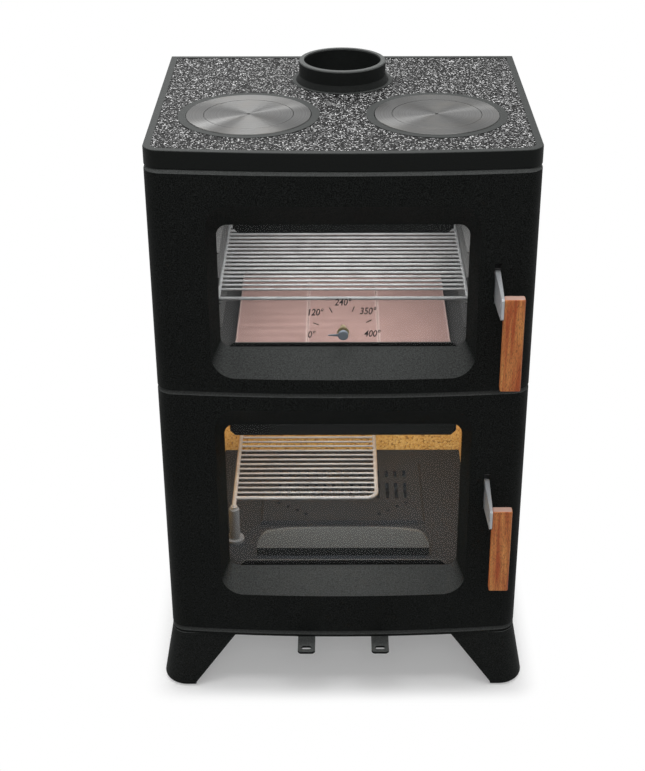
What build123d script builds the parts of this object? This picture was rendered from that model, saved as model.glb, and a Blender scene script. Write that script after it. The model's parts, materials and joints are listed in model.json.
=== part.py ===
from build123d import *
import math
import os

# Wood cookstove: an oven above a firebox, two hobs on top, one door in front of each chamber.
# Millimetres, +Z up, +X to the viewer's right, the doors face -Y.
# Origin: on the floor, under the middle of the stove.

# ---------------------------------------------------------------- driving dimensions
PLATE_WIDTH = 622.0          # cooktop, side to side
PLATE_TOP = 1021.5           # cooktop surface above the floor
PLATE_RIM = 29.0             # height of the cooktop's downturned rim
FRONT = -230.0               # where the bowed front meets its corners, before its bow
DEPTH = 518.0                # FRONT to the rear of the cooktop
BOW_MIDDLE = -9.0            # front face at the middle, from FRONT
BOW_END = 5.0                # front face where the corner rounding starts, from FRONT
BOW_REACH = 281.0            # where that start is, from the middle
CORNER = 30.0                # rounding of the two front corners
EDGE_ROUND = 2.0             # rounding of the cooktop's upper edge
PLATE_SETBACK = 4.0          # how far the cooktop's front stands behind the doors' front
BODY_HALF = 310.9            # doors and casing, half width
BASE_LOW, BASE_HIGH = 106.5, 116.0
SEAM, TOP_SEAM = 3.0, 1.5    # gaps round the doors, and under the cooktop
LIT_EDGE = 5.0               # chamfer on the upper edge of the base plate and of each door
DOOR_SPLIT = 606.5           # lower end of the upper door
DOOR_REAR = FRONT + 46.0     # rear end of the doors' side walls
FRAME_FACE = FRONT + 50.5    # front face of the frame that the doors close on
BODY_REAR = FRONT + 514.0
LEG_FRONT = FRONT + 3.0      # front corner of the base plate, where a leg starts
LEG_MIDDLE = (LEG_FRONT + BODY_REAR) / 2
GLASS_SEAT = FRONT + 26.0    # flat land that the glass is clamped against
SHEET = 4.0                  # steel plates inside
CASING = 5.0                 # outer side panels

LOWER_DOOR = (BASE_HIGH + SEAM, DOOR_SPLIT - SEAM)
UPPER_DOOR = (DOOR_SPLIT, PLATE_TOP - PLATE_RIM - TOP_SEAM)
# Windows: rim low, rim high, glass low, glass high, rim half width, glass half width.
LOWER_WINDOW = (196.0, 572.5, 239.5, 529.0, 216.0, 201.8)
UPPER_WINDOW = (632.0, 936.0, 676.5, 892.5, 216.5, 201.6)
# Clamping strips of the lower and of the upper glass, each pair at its top and its foot.
STRIP_LAPS = ((25.0, 6.0), (17.0, 4.0))              # how far they reach over the glass
STRIP_LENGTHS = ((385.0, 366.0), (351.0, 380.0))
RIM_CORNER, GLASS_CORNER = 40.0, 18.0

HINGE_X, HINGE_Y = -298.2, FRONT + 24.0
HINGE_PIN, HINGE_BORE = 4.0, 4.05
PIN_DEPTH = 14.0

HOB_X, HOB_Y = 153.5, FRONT + 182.5
HOB_RADIUS, LID_RADIUS = 102.0, 73.5
HOB_LAND, COLLAR_LAND = 115.5, 87.0
COLLAR_Y = FRONT + 377.0
COLLAR_RADIUS, COLLAR_BORE, COLLAR_HEIGHT = 75.0, 66.75, 35.0

LEVER_X = (242.5, 250.5)     # steel handle plate, left and right faces
HANDLE_TOP = 820.5           # upper handle where it leaves the door
HANDLE_STEP = 391.5          # the lower handle is this much lower
GRIP_HEIGHT, GRIP_WIDTH, GRIP_THICK = 163.0, 33.0, 16.0

OVEN_FLOOR = 615.0           # top of the oven's steel floor, the stones lie on it
STONE_TOP = 635.0
OVEN_TOP = 928.0
OVEN_REAR = FRONT + 414.0
OVEN_HALF = 221.0
RACK_Z = 741.0
GUIDE_PITCH = 45.0

FIRE_FLOOR = 208.0
FIRE_HALF = 240.0
LINING = 22.0                # thickness of the lining boards
LINING_TOP = DOOR_SPLIT - 12.0
FIRE_REAR = FRONT + 479.0
ASH_HALF, ASH_FLOOR = 165.0, 144.0

os.makedirs("parts", exist_ok=True)


# ---------------------------------------------------------------- small helpers
def save(name, shape):
    shape.label = name
    export_step(shape, "parts/" + name + ".step")


def block(x, y, z):
    """Box between the pairs x, y and z."""
    corner = Pos(x[0], y[0], z[0])
    return corner * Box(x[1] - x[0], y[1] - y[0], z[1] - z[0], align=(Align.MIN, Align.MIN, Align.MIN))


def disc(x, y, z, radius):
    """Upright cylinder between the heights z."""
    return Pos(x, y, z[0]) * Cylinder(radius, z[1] - z[0], align=(Align.CENTER, Align.CENTER, Align.MIN))


def rod(start, end, radius):
    """Round bar between two points."""
    path = Line(start, end)
    return extrude(Plane(origin=start, z_dir=path % 0) * Circle(radius), path.length)


def facing(shape, y):
    """Outline drawn in X and Z, made solid between the pair y."""
    return extrude(Plane.XZ.offset(-y[1]) * shape, y[1] - y[0])


def sideways(shape, x):
    """Outline drawn in Y and Z, made solid between the pair x."""
    return extrude(Plane.YZ.offset(x[0]) * shape, x[1] - x[0])


def group(solids):
    """Separate solids of one node."""
    return Compound(children=[part for item in solids for part in item.solids()])


def mirror_x(shape):
    return mirror(shape, Plane.YZ)


BOW_RADIUS = (BOW_REACH**2 + (BOW_END - BOW_MIDDLE) ** 2) / (2 * (BOW_END - BOW_MIDDLE))
BOW_CENTRE = FRONT + BOW_MIDDLE + BOW_RADIUS


def bow(x):
    """Y of the bowed front face at x."""
    return BOW_CENTRE - math.sqrt(BOW_RADIUS**2 - x**2)


def plan(half, rear, inset=0.0, corner=CORNER):
    """Plan view of the stove's front half: bowed front, rounded corners, straight sides and rear."""
    side = bow(half) + inset
    face = make_face(
        [
            ThreePointArc((-half, side), (0, bow(0) + inset), (half, side)),
            Line((half, side), (half, rear)),
            Line((half, rear), (-half, rear)),
            Line((-half, rear), (-half, side)),
        ]
    )
    return fillet(face.vertices().group_by(Axis.Y)[0], corner)


def slab(outline, z):
    return Pos(0, 0, z[0]) * extrude(outline, z[1] - z[0])


def lit_edge(solid, rear):
    """Chamfer round the upper edge, except along the rear."""
    edges = solid.edges().group_by(Axis.Z)[-1].filter_by(lambda edge: edge.center().Y < rear - 1)
    return chamfer(edges, LIT_EDGE)


def ring_of(width, height, radius, thick, centre_z, y):
    """Rounded rectangular ring in X and Z; width and height are its outer sizes."""
    outer = RectangleRounded(width, height, radius)
    inner = RectangleRounded(width - 2 * thick, height - 2 * thick, radius - thick)
    return facing(Pos(0, centre_z) * (outer - inner), y)


# ---------------------------------------------------------------- cooktop and hobs
def cooktop_plate():
    rim_z = (PLATE_TOP - PLATE_RIM, PLATE_TOP)
    wall, plate, relief, border = 8.0, 10.0, 0.8, 12.0
    half, rear = PLATE_WIDTH / 2, FRONT + DEPTH
    solid = slab(plan(half, rear, PLATE_SETBACK), rim_z)
    top_edges = solid.edges().group_by(Axis.Z)[-1]
    solid = fillet(top_edges, EDGE_ROUND)
    wall_inset, border_inset = PLATE_SETBACK + wall, PLATE_SETBACK + border
    under = slab(plan(half - wall, rear - wall, wall_inset, CORNER - wall), (rim_z[0], PLATE_TOP - plate))
    boss = disc(HINGE_X, HINGE_Y, (rim_z[0], PLATE_TOP - plate), 7.0)
    solid -= under
    solid += boss
    field_outline = plan(half - border, rear - border, border_inset, CORNER - border)
    field = slab(field_outline, (PLATE_TOP - relief, PLATE_TOP))
    for x in (-HOB_X, HOB_X):
        field -= disc(x, HOB_Y, (PLATE_TOP - plate, PLATE_TOP), HOB_LAND)
    field -= disc(0, COLLAR_Y, (PLATE_TOP - plate, PLATE_TOP), COLLAR_LAND)
    solid -= field
    for x in (-HOB_X, HOB_X):
        solid -= disc(x, HOB_Y, (PLATE_TOP - 6.0, PLATE_TOP), HOB_RADIUS + 0.7)
        solid -= disc(x, HOB_Y, (rim_z[0], PLATE_TOP), HOB_RADIUS - 8.0)
    solid -= disc(0, COLLAR_Y, (rim_z[0], PLATE_TOP), COLLAR_RADIUS - 2.5)
    solid -= disc(HINGE_X, HINGE_Y, (rim_z[0], rim_z[0] + PIN_DEPTH), HINGE_BORE)
    return solid


def hob_ring(x):
    top, ledge = PLATE_TOP + 1.0, PLATE_TOP - 6.0
    ring = disc(x, HOB_Y, (ledge, top), HOB_RADIUS)
    ring = chamfer(ring.edges().group_by(Axis.Z)[-1], 0.8)
    ring -= disc(x, HOB_Y, (top - 5.0, top), LID_RADIUS + 0.4)
    return ring - disc(x, HOB_Y, (ledge, top), LID_RADIUS - 8.0)


def hob_lid(x):
    top = PLATE_TOP + 1.0
    lid = disc(x, HOB_Y, (top - 5.0, top), LID_RADIUS)
    lid = chamfer(lid.edges().group_by(Axis.Z)[-1], 0.6)
    lid += disc(x, HOB_Y, (top - 10.0, top - 5.0), LID_RADIUS - 9.0)
    return lid - Pos(x, HOB_Y, top - 1.0) * Cone(0.4, 3.0, 2.0)


def flue_collar():
    foot_radius, foot_height, below = 80.6, 10.0, 14.0
    outer = disc(0, COLLAR_Y, (PLATE_TOP, PLATE_TOP + COLLAR_HEIGHT), COLLAR_RADIUS)
    outer = fillet(outer.edges().group_by(Axis.Z)[-1], 2.0)
    align = (Align.CENTER, Align.CENTER, Align.MIN)
    outer += Pos(0, COLLAR_Y, PLATE_TOP) * Cone(foot_radius, COLLAR_RADIUS, foot_height, align=align)
    outer += disc(0, COLLAR_Y, (PLATE_TOP - below, PLATE_TOP), COLLAR_RADIUS - 3.0)
    return outer - disc(0, COLLAR_Y, (PLATE_TOP - below, PLATE_TOP + COLLAR_HEIGHT), COLLAR_BORE)


# ---------------------------------------------------------------- casing
def base_plate():
    solid = lit_edge(slab(plan(BODY_HALF, BODY_REAR), (BASE_LOW, BASE_HIGH)), BODY_REAR)
    for x in AIR_LEVER_X:
        for y in AIR_SLOTS:
            port = Pos(x, y) * SlotOverall(22.0, 10.0)
            solid -= slab(port, (BASE_LOW, BASE_HIGH))
        for side in (-1, 1):
            rail_x = x + side * (AIR_LEVER_HALF + 2.8)
            solid += block((rail_x - 2.5, rail_x + 2.5), AIR_GUIDE_Y, (BASE_LOW - 5.0, BASE_LOW))
            lip_x = x + side * (AIR_LEVER_HALF - 1.0)
            lip = (min(lip_x, rail_x), max(lip_x, rail_x))
            solid += block(lip, AIR_GUIDE_Y, (BASE_LOW - 8.0, BASE_LOW - 4.8))
    for x, y in leg_bolt_places():
        solid -= disc(x, y, (BASE_LOW, BASE_HIGH), 4.2)
    return solid - disc(HINGE_X, HINGE_Y, (BASE_LOW, BASE_HIGH), HINGE_BORE)


def leg_bolt_places():
    """Two bolts in each leg's flange; the rear ones mirror the front ones."""
    near, far = 28.0, 80.0
    front = [(BODY_HALF - near, FRONT + 94.0), (BODY_HALF - far, FRONT + 42.0)]
    right = front + [(x, 2 * LEG_MIDDLE - y) for x, y in front]
    return right + [(-x, y) for x, y in right]


def leg_bolts():
    solids = []
    for x, y in leg_bolt_places():
        shank = disc(x, y, (BASE_LOW - 8.0, BASE_HIGH), 4.0)
        head = Pos(x, y, BASE_LOW - 13.5) * extrude(RegularPolygon(6.5, 6), 5.3)
        solids.append(head + disc(x, y, (BASE_LOW - 8.5, BASE_LOW - 8.0), 4.0) + shank)
    return group(solids)


def leg_section(corner_x, corner_y, arm, wall, radius):
    """L-shaped section of the front right leg: the corner points to +X and -Y."""
    points = [
        (corner_x, corner_y),
        (corner_x, corner_y + arm),
        (corner_x - wall, corner_y + arm),
        (corner_x - wall, corner_y + wall),
        (corner_x - arm, corner_y + wall),
        (corner_x - arm, corner_y),
    ]
    face = make_face(Polyline(*points, close=True))
    tip = face.vertices().sort_by_distance((corner_x, corner_y))[0]
    face = fillet(tip, radius)
    inner = face.vertices().sort_by_distance((corner_x - wall, corner_y + wall))[0]
    return fillet(inner, radius - wall)


def leg_front_right():
    """Cast corner bracket: two tapering webs that flare outwards, a sole and a bolting flange."""
    flare, wall, top_arm = 18.0, 12.0, 118.0
    sole_thick, sole_arm, sole_round, foot_corner = 8.0, 60.0, 7.0, 44.0
    foot_x, foot_y = BODY_HALF + flare, LEG_FRONT - flare
    top = leg_section(BODY_HALF, LEG_FRONT, top_arm, wall, CORNER)
    foot = leg_section(foot_x, foot_y, sole_arm, wall, foot_corner)
    webs = loft([Pos(0, 0, sole_thick) * foot, Pos(0, 0, BASE_LOW) * top], ruled=True)

    sole = Pos(foot_x - sole_arm / 2, foot_y + sole_arm / 2) * Rectangle(sole_arm, sole_arm)
    sole = extrude(fillet(sole.vertices().sort_by_distance((foot_x, foot_y))[0], foot_corner), sole_thick)
    sole = fillet(sole.edges().group_by(Axis.Z)[0], sole_round)

    near, far, cut = 6.0, 109.0, 40.0
    flange_x, flange_y = BODY_HALF - near, LEG_FRONT + near
    flange = make_face(
        Polyline(
            (flange_x, flange_y),
            (flange_x, LEG_FRONT + far),
            (BODY_HALF - cut, LEG_FRONT + far),
            (BODY_HALF - far, LEG_FRONT + cut + near),
            (BODY_HALF - far, flange_y),
            close=True,
        )
    )
    flange = fillet(flange.vertices().sort_by_distance((flange_x, flange_y))[0], CORNER - near)
    solid = webs + sole + slab(flange, (BASE_LOW - 8.0, BASE_LOW))
    for x, y in leg_bolt_places():
        if x > 0 and y < LEG_MIDDLE:
            solid -= disc(x, y, (BASE_LOW - 8.0, BASE_LOW), 4.2)
    return solid


def to_rear(leg):
    """The rear legs are the front ones, mirrored across the middle of the base plate."""
    return mirror(leg, Plane.XZ.offset(-LEG_MIDDLE))


def side_panel():
    """Right side panel, with the rear flange that the back panel is screwed to."""
    z = (BASE_HIGH, PLATE_TOP - PLATE_RIM)
    inner = BODY_HALF - CASING
    flange_y = (BODY_REAR - 7.0, BODY_REAR - 3.0)
    panel = block((inner, BODY_HALF), (FRAME_FACE, BODY_REAR), z) + block((inner - 24.0, inner), flange_y, z)
    for x, screw_z in back_screw_places():
        panel -= facing(Pos(x, screw_z) * Circle(2.6), flange_y)
    return panel


def back_panel():
    half = BODY_HALF - CASING
    sheet = block((-half, half), (BODY_REAR - 3.0, BODY_REAR), (BASE_HIGH, PLATE_TOP - PLATE_RIM))
    for x, z in back_screw_places():
        sheet -= facing(Pos(x, z) * Circle(2.6), (BODY_REAR - 3.0, BODY_REAR))
    return sheet


def back_screw_places():
    low, high, inset = BASE_HIGH + 14.0, PLATE_TOP - PLATE_RIM - 14.0, 14.0
    rows = 5
    step = (high - low) / (rows - 1)
    half = BODY_HALF - CASING - inset
    return [(side * half, low + row * step) for side in (-1, 1) for row in range(rows)]


def casing_screws():
    """Pan-head screws that hold the back panel to the corner angles."""
    solids = []
    for x, z in back_screw_places():
        head = facing(Pos(x, z) * Circle(4.5), (BODY_REAR, BODY_REAR + 3.0))
        head = chamfer(head.edges().group_by(Axis.Y)[-1], 1.0)
        head -= facing(Pos(x, z) * RegularPolygon(2.0, 6), (BODY_REAR + 1.4, BODY_REAR + 3.0))
        solids.append(head + facing(Pos(x, z) * Circle(2.5), (BODY_REAR - 10.0, BODY_REAR)))
    return group(solids)


def front_frame():
    """Cast frame behind the doors, with the mouths of the oven and of the firebox."""
    half = BODY_HALF - CASING
    mouth_half = 222.0
    frame = block((-half, half), (FRAME_FACE, FRAME_FACE + 6.0), (BASE_HIGH, PLATE_TOP - PLATE_RIM))
    for low, high in ((ASH_FLOOR, DOOR_SPLIT - 34.0), (STONE_TOP, OVEN_TOP - 4.0)):
        mouth = Pos(0, (low + high) / 2) * RectangleRounded(2 * mouth_half, high - low, 14.0)
        frame -= facing(mouth, (FRAME_FACE, FRAME_FACE + 6.0))
    return frame


# ---------------------------------------------------------------- doors
def outline_at(half, low, high, corner, depth):
    """Rounded rectangle in X and Z as a wire; depth gives y for an x."""

    def at(x, z):
        return (x, depth(x), z)

    def bend(side_x, side_z):
        """Corner arc, run anticlockwise in the front view."""
        x, z = side_x * (half - corner), (high - corner) if side_z > 0 else (low + corner)
        flat = at(x, z + side_z * corner)
        upright = at(side_x * half, z)
        slant = corner * math.sqrt(0.5)
        middle = at(x + side_x * slant, z + side_z * slant)
        if side_x * side_z < 0:
            return ThreePointArc(flat, middle, upright)
        return ThreePointArc(upright, middle, flat)

    def across(z, direction):
        reach = (half - corner) * direction
        if depth(0) == depth(half):
            return Line(at(-reach, z), at(reach, z))
        return ThreePointArc(at(-reach, z), at(0, z), at(reach, z))

    edges = [
        across(low, 1),
        bend(1, -1),
        Line(at(half, low + corner), at(half, high - corner)),
        bend(1, 1),
        across(high, -1),
        bend(-1, 1),
        Line(at(-half, high - corner), at(-half, low + corner)),
        bend(-1, -1),
    ]
    return Wire([edge for item in edges for edge in item.edges()])


def window_hollow(window, grow):
    """Bevelled hollow in front of a glass, grown outwards all round by grow.

    Its rim lies on the bowed face, and its foot is the flat land that the glass lies against.
    """
    rim_low, rim_high, glass_low, glass_high, rim_half, glass_half = window
    rim = (rim_half + grow, rim_low - grow, rim_high + grow, RIM_CORNER + grow)
    foot = (glass_half + grow, glass_low - grow, glass_high + grow, GLASS_CORNER + grow)
    ahead = outline_at(*rim, lambda x: FRONT - 20.0)
    on_face = outline_at(*rim, bow)
    on_seat = outline_at(*foot, lambda x: GLASS_SEAT)
    return Part() + Solid.make_loft([ahead, on_face, on_seat], ruled=True)


def door_frame(span, window):
    """Cast door: bowed skin, side walls, hinge stile, bevelled window surround and seal land."""
    low, high = span
    skin, wall, stile = 8.0, 8.0, -272.0
    land = (GLASS_SEAT - 6.0, GLASS_SEAT)
    glass_low, glass_high, glass_half = window[2], window[3], window[5]
    middle = (glass_low + glass_high) / 2
    solid = lit_edge(slab(plan(BODY_HALF, DOOR_REAR), span), DOOR_REAR)
    inside = slab(plan(BODY_HALF - wall, DOOR_REAR + 10.0, skin, CORNER - wall), (low + wall, high - wall))
    inside &= block((stile, BODY_HALF), (FRONT - 30.0, DOOR_REAR), (low, high))
    shell = solid - inside
    surround = window_hollow(window, skin) & solid
    flange = facing(
        Pos(0, middle) * RectangleRounded(2 * glass_half + 44.0, glass_high - glass_low + 52.0, 24.0), land
    )
    shell = shell + surround + flange
    land_half = BODY_HALF - 2.0
    seal_land = block((-land_half, land_half), (DOOR_REAR - 12.0, DOOR_REAR - 5.0), (low + 2.0, high - 2.0))
    seal_land -= block((-268.0, 272.0), (FRONT, DOOR_REAR), (low + 34.0, high - 34.0))
    shell += seal_land & solid
    shell -= block((-BODY_HALF + 6.0, BODY_HALF - 6.0), (DOOR_REAR - 5.0, DOOR_REAR), (low + 6.0, high - 6.0))
    for x, z in clip_bosses(window):
        shell += facing(Pos(x, z) * Circle(7.0), (GLASS_SEAT - 2.0, GLASS_SEAT + 6.0))
        shell -= facing(Pos(x, z) * Circle(2.0), (GLASS_SEAT - 2.0, GLASS_SEAT + 6.0))
    shell -= window_hollow(window, 0.0)
    opening = Pos(0, middle) * RectangleRounded(2 * glass_half, glass_high - glass_low, GLASS_CORNER)
    shell -= facing(opening, (FRONT - 20.0, DOOR_REAR))
    slot_top = HANDLE_TOP + 14.5 - (HANDLE_STEP if low < DOOR_SPLIT else 0.0)
    slot_x = (LEVER_X[0] - 1.5, LEVER_X[1] + 1.5)
    shell -= block(slot_x, (FRONT - 20.0, FRONT + 14.0), (slot_top - 70.0, slot_top))
    for end in ((low, low + PIN_DEPTH), (high - PIN_DEPTH, high)):
        shell -= disc(HINGE_X, HINGE_Y, end, HINGE_BORE)
    return shell


def clip_bosses(window):
    """Screw places of the glass clips: two above the glass, two below."""
    glass_low, glass_high = window[2], window[3]
    return [(side * 120.0, z) for z in (glass_low - 20.0, glass_high + 20.0) for side in (-1, 1)]


def door_glass(window):
    glass_low, glass_high, glass_half = window[2], window[3], window[5]
    overlap = 12.0
    middle = (glass_low + glass_high) / 2
    size = (2 * (glass_half + overlap), glass_high - glass_low + 2 * overlap)
    outline = Pos(0, middle) * RectangleRounded(*size, GLASS_CORNER)
    pane = facing(outline, (GLASS_SEAT + 2.0, GLASS_SEAT + 6.0))
    if window == UPPER_WINDOW:
        pane -= facing(Pos(0, THERMOMETER_Z) * Circle(THERMOMETER_STEM + 0.5), (FRONT, DOOR_REAR))
    return pane


def glass_seal(window):
    glass_low, glass_high, glass_half = window[2], window[3], window[5]
    middle = (glass_low + glass_high) / 2
    size = (2 * (glass_half + 12.0), glass_high - glass_low + 24.0)
    return ring_of(*size, GLASS_CORNER, 9.0, middle, (GLASS_SEAT, GLASS_SEAT + 2.0))


def glass_clips(window):
    """Dark strips along the top and the foot of the glass, and their screws."""
    glass_low, glass_high = window[2], window[3]
    face, beyond, corner_cut = GLASS_SEAT + 6.0, 27.0, 9.0
    top_lap, foot_lap = STRIP_LAPS[window == UPPER_WINDOW]
    top_length, foot_length = STRIP_LENGTHS[window == UPPER_WINDOW]
    strips = []
    for length, low, high in (
        (foot_length, glass_low - beyond, glass_low + foot_lap),
        (top_length, glass_high - top_lap, glass_high + beyond),
    ):
        strip = Pos(0, (low + high) / 2) * Rectangle(length, high - low)
        strips.append(facing(chamfer(strip.vertices(), corner_cut), (face, face + 2.5)))
    screws = []
    for x, z in clip_bosses(window):
        hole = facing(Pos(x, z) * Circle(2.1), (face, face + 2.5))
        strips = [strip - hole for strip in strips]
        head = facing(Pos(x, z) * Circle(4.0), (face + 2.5, face + 5.0))
        screws.append(head + facing(Pos(x, z) * Circle(1.9), (face - 7.0, face + 2.5)))
    return group(strips + screws)


def door_seal(span):
    """Woven rope in the groove round the rear of the door."""
    low, high = span
    inset, rope = 10.0, 10.0
    size = (2 * (BODY_HALF - inset), high - low - 2 * inset)
    return ring_of(*size, 14.0, rope, (low + high) / 2, (DOOR_REAR - 5.0, FRAME_FACE - 0.2))


# ---------------------------------------------------------------- handles, for the upper door
PIVOT_Y, PIVOT_Z = FRONT + 30.0, HANDLE_TOP - 27.0
GRIP_FRONT = FRONT - 72.0
NOSE = 4.5                   # thickness of the lever at the front of its nose
SCREW_FACE = LEVER_X[1] - NOSE + 0.2


def handle_lever():
    """Steel plate: latch tail inside, slot neck, and a tapering nose that carries the grip."""
    neck_low = HANDLE_TOP - 51.0
    outline = make_face(
        Polyline(
            (PIVOT_Y, PIVOT_Z - 12.0),
            (FRONT + 2.0, neck_low),
            (GRIP_FRONT + 3.0, neck_low),
            (GRIP_FRONT, neck_low + 3.0),
            (GRIP_FRONT, HANDLE_TOP - 17.0),
            (GRIP_FRONT + 3.0, HANDLE_TOP - 14.0),
            (FRONT + 2.0, HANDLE_TOP),
            (FRONT + 10.0, HANDLE_TOP),
            (PIVOT_Y, PIVOT_Z + 12.0),
            close=True,
        )
    )
    outline += Pos(PIVOT_Y, PIVOT_Z) * Circle(12.0)
    tail = make_face(
        Polyline(
            (PIVOT_Y, PIVOT_Z - 6.0),
            (FRONT + 46.0, PIVOT_Z - 3.0),
            (FRONT + 46.0, PIVOT_Z + 5.0),
            (PIVOT_Y, PIVOT_Z + 8.0),
            close=True,
        )
    )
    plate = sideways(outline + tail, LEVER_X)
    plate -= sideways(Pos(PIVOT_Y, PIVOT_Z) * Circle(HINGE_BORE), LEVER_X)
    taper = make_face(
        Polyline(
            (LEVER_X[0], FRONT - 2.0),
            (LEVER_X[1] - NOSE, GRIP_FRONT),
            (LEVER_X[0], GRIP_FRONT),
            close=True,
        )
    )
    plate -= slab(taper, (neck_low, HANDLE_TOP))
    for y, z in grip_screw_places():
        plate -= sideways(Pos(y, z) * Circle(2.6), LEVER_X)
        plate -= sideways(Pos(y, z) * Circle(4.5), (LEVER_X[0], SCREW_FACE))
        plate -= screw_cone(y, z, 4.5, 2.6)
    return plate


def grip_screw_places():
    return [(GRIP_FRONT + GRIP_THICK / 2, HANDLE_TOP - drop) for drop in (24.0, 42.0)]


def screw_cone(y, z, wide, narrow):
    """Countersunk head of a grip screw, or its seat in the lever."""
    align = (Align.CENTER, Align.CENTER, Align.MIN)
    return Pos(SCREW_FACE, y, z) * Rot(0, 90, 0) * Cone(wide, narrow, 2.0, align=align)


def handle_grip():
    """Wooden bar, softly rounded on all edges."""
    top = HANDLE_TOP - 14.0
    bar = block(
        (LEVER_X[1] + 0.1, LEVER_X[1] + GRIP_WIDTH),
        (GRIP_FRONT, GRIP_FRONT + GRIP_THICK),
        (top - GRIP_HEIGHT, top),
    )
    bar = fillet(bar.edges(), 2.5)
    for y, z in grip_screw_places():
        bar -= sideways(Pos(y, z) * Circle(2.6), (LEVER_X[1], LEVER_X[1] + 22.0))
    return bar


def grip_screws():
    """Countersunk screws, flush with the lever's left face."""
    solids = []
    for y, z in grip_screw_places():
        head = screw_cone(y, z, 4.3, 2.4)
        head -= sideways(Pos(y, z) * RegularPolygon(1.6, 6), (SCREW_FACE, SCREW_FACE + 1.2))
        solids.append(head + sideways(Pos(y, z) * Circle(2.4), (SCREW_FACE + 1.5, LEVER_X[1] + 20.0)))
    return group(solids)


def latch_bracket():
    """Fork behind the slot, riveted inside the door, with the lever's pivot pin."""
    cheek = 4.0
    left, right = LEVER_X[0] - 0.6, LEVER_X[1] + 0.6
    solids = []
    for inner, outer in ((left, left - cheek), (right, right + cheek)):
        x = (min(inner, outer), max(inner, outer))
        outline = make_face(
            Polyline(
                (FRONT + 11.0, PIVOT_Z - 16.0),
                (PIVOT_Y, PIVOT_Z - 9.0),
                (PIVOT_Y, PIVOT_Z + 9.0),
                (FRONT + 11.0, PIVOT_Z + 16.0),
                close=True,
            )
        )
        solids.append(sideways(outline + Pos(PIVOT_Y, PIVOT_Z) * Circle(9.0), x))
    pin_x = (LEVER_X[0] - 0.6 - cheek, LEVER_X[1] + 0.6 + cheek)
    return solids[0] + solids[1] + sideways(Pos(PIVOT_Y, PIVOT_Z) * Circle(HINGE_PIN), pin_x)


def latch_catches():
    """Hooks on the front frame; a lever's tail rises behind each of them."""
    solids = []
    for drop in (0.0, HANDLE_STEP):
        base = PIVOT_Z - drop + 8.5
        outline = make_face(
            Polyline(
                (FRAME_FACE, base - 12.0),
                (FRAME_FACE, base + 14.0),
                (FRAME_FACE - 3.0, base + 14.0),
                (FRAME_FACE - 3.0, base + 6.0),
                (FRAME_FACE - 8.0, base + 6.0),
                (FRAME_FACE - 8.0, base),
                (FRAME_FACE - 3.0, base),
                (FRAME_FACE - 3.0, base - 12.0),
                close=True,
            )
        )
        solids.append(sideways(outline, (LEVER_X[0] - 6.0, LEVER_X[1] + 6.0)))
    return group(solids)


# ---------------------------------------------------------------- hinges
def hinge_plate():
    """Thin steel tongue in the seam between the doors, from the front frame to the hinge axis."""
    thick = 2.4
    low = DOOR_SPLIT - SEAM / 2 - thick / 2
    tongue = block((HINGE_X - 7.0, HINGE_X + 20.0), (HINGE_Y, FRAME_FACE), (low, low + thick))
    tongue += disc(HINGE_X, HINGE_Y, (low, low + thick), 7.0)
    return tongue - disc(HINGE_X, HINGE_Y, (low, low + thick), HINGE_PIN)


def hinge_pins():
    """Pins at the foot of the lower door, through the hinge plate, and at the top of the upper door."""
    reach = PIN_DEPTH - 1.0
    foot = disc(HINGE_X, HINGE_Y, (BASE_LOW, LOWER_DOOR[0] + reach), HINGE_PIN)
    middle = disc(HINGE_X, HINGE_Y, (LOWER_DOOR[1] - reach, UPPER_DOOR[0] + reach), HINGE_PIN)
    rim = PLATE_TOP - PLATE_RIM
    top = disc(HINGE_X, HINGE_Y, (UPPER_DOOR[1] - reach, rim + reach), HINGE_PIN)
    return group([foot, middle, top])


# ---------------------------------------------------------------- thermometer on the upper glass
THERMOMETER_Z = 698.5
THERMOMETER_STEM = 3.0


def thermometer_hub():
    """Stem through the glass, a washer in front, and behind it the tapering cup of the heat-sensing coil."""
    front, cup_length = GLASS_SEAT + 2.0, 20.0
    rear = front + 5.5
    stem = facing(Pos(0, THERMOMETER_Z) * Circle(THERMOMETER_STEM), (front - 5.0, rear + 4.0))
    washer = facing(Pos(0, THERMOMETER_Z) * Circle(7.0), (front - 2.0, front))
    flange = facing(Pos(0, THERMOMETER_Z) * Circle(10.0), (front + 4.0, rear))
    place = Pos(0, rear, THERMOMETER_Z) * Rot(-90, 0, 0)
    align = (Align.CENTER, Align.CENTER, Align.MIN)
    cup = place * Cone(8.6, 4.8, cup_length, align=align) - place * Cone(7.4, 3.6, cup_length, align=align)
    return stem + washer + flange + cup


def thermometer_needle():
    """Pointer that turns in front of the glass; at rest it points left, to the zero mark."""
    rear = GLASS_SEAT - 0.3
    hub = facing(Pos(0, THERMOMETER_Z) * Circle(8.3), (rear - 6.0, rear))
    hub = chamfer(hub.edges().group_by(Axis.Y)[0], 1.2)
    outline = make_face(
        Polyline(
            (-4.0, THERMOMETER_Z - 2.6),
            (-4.0, THERMOMETER_Z + 2.6),
            (-25.0, THERMOMETER_Z + 0.7),
            (-25.0, THERMOMETER_Z - 0.7),
            close=True,
        )
    )
    hub += facing(outline, (rear - 3.0, rear - 1.8))
    return hub - facing(Pos(0, THERMOMETER_Z) * Circle(THERMOMETER_STEM + 0.05), (rear - 3.3, rear))


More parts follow.
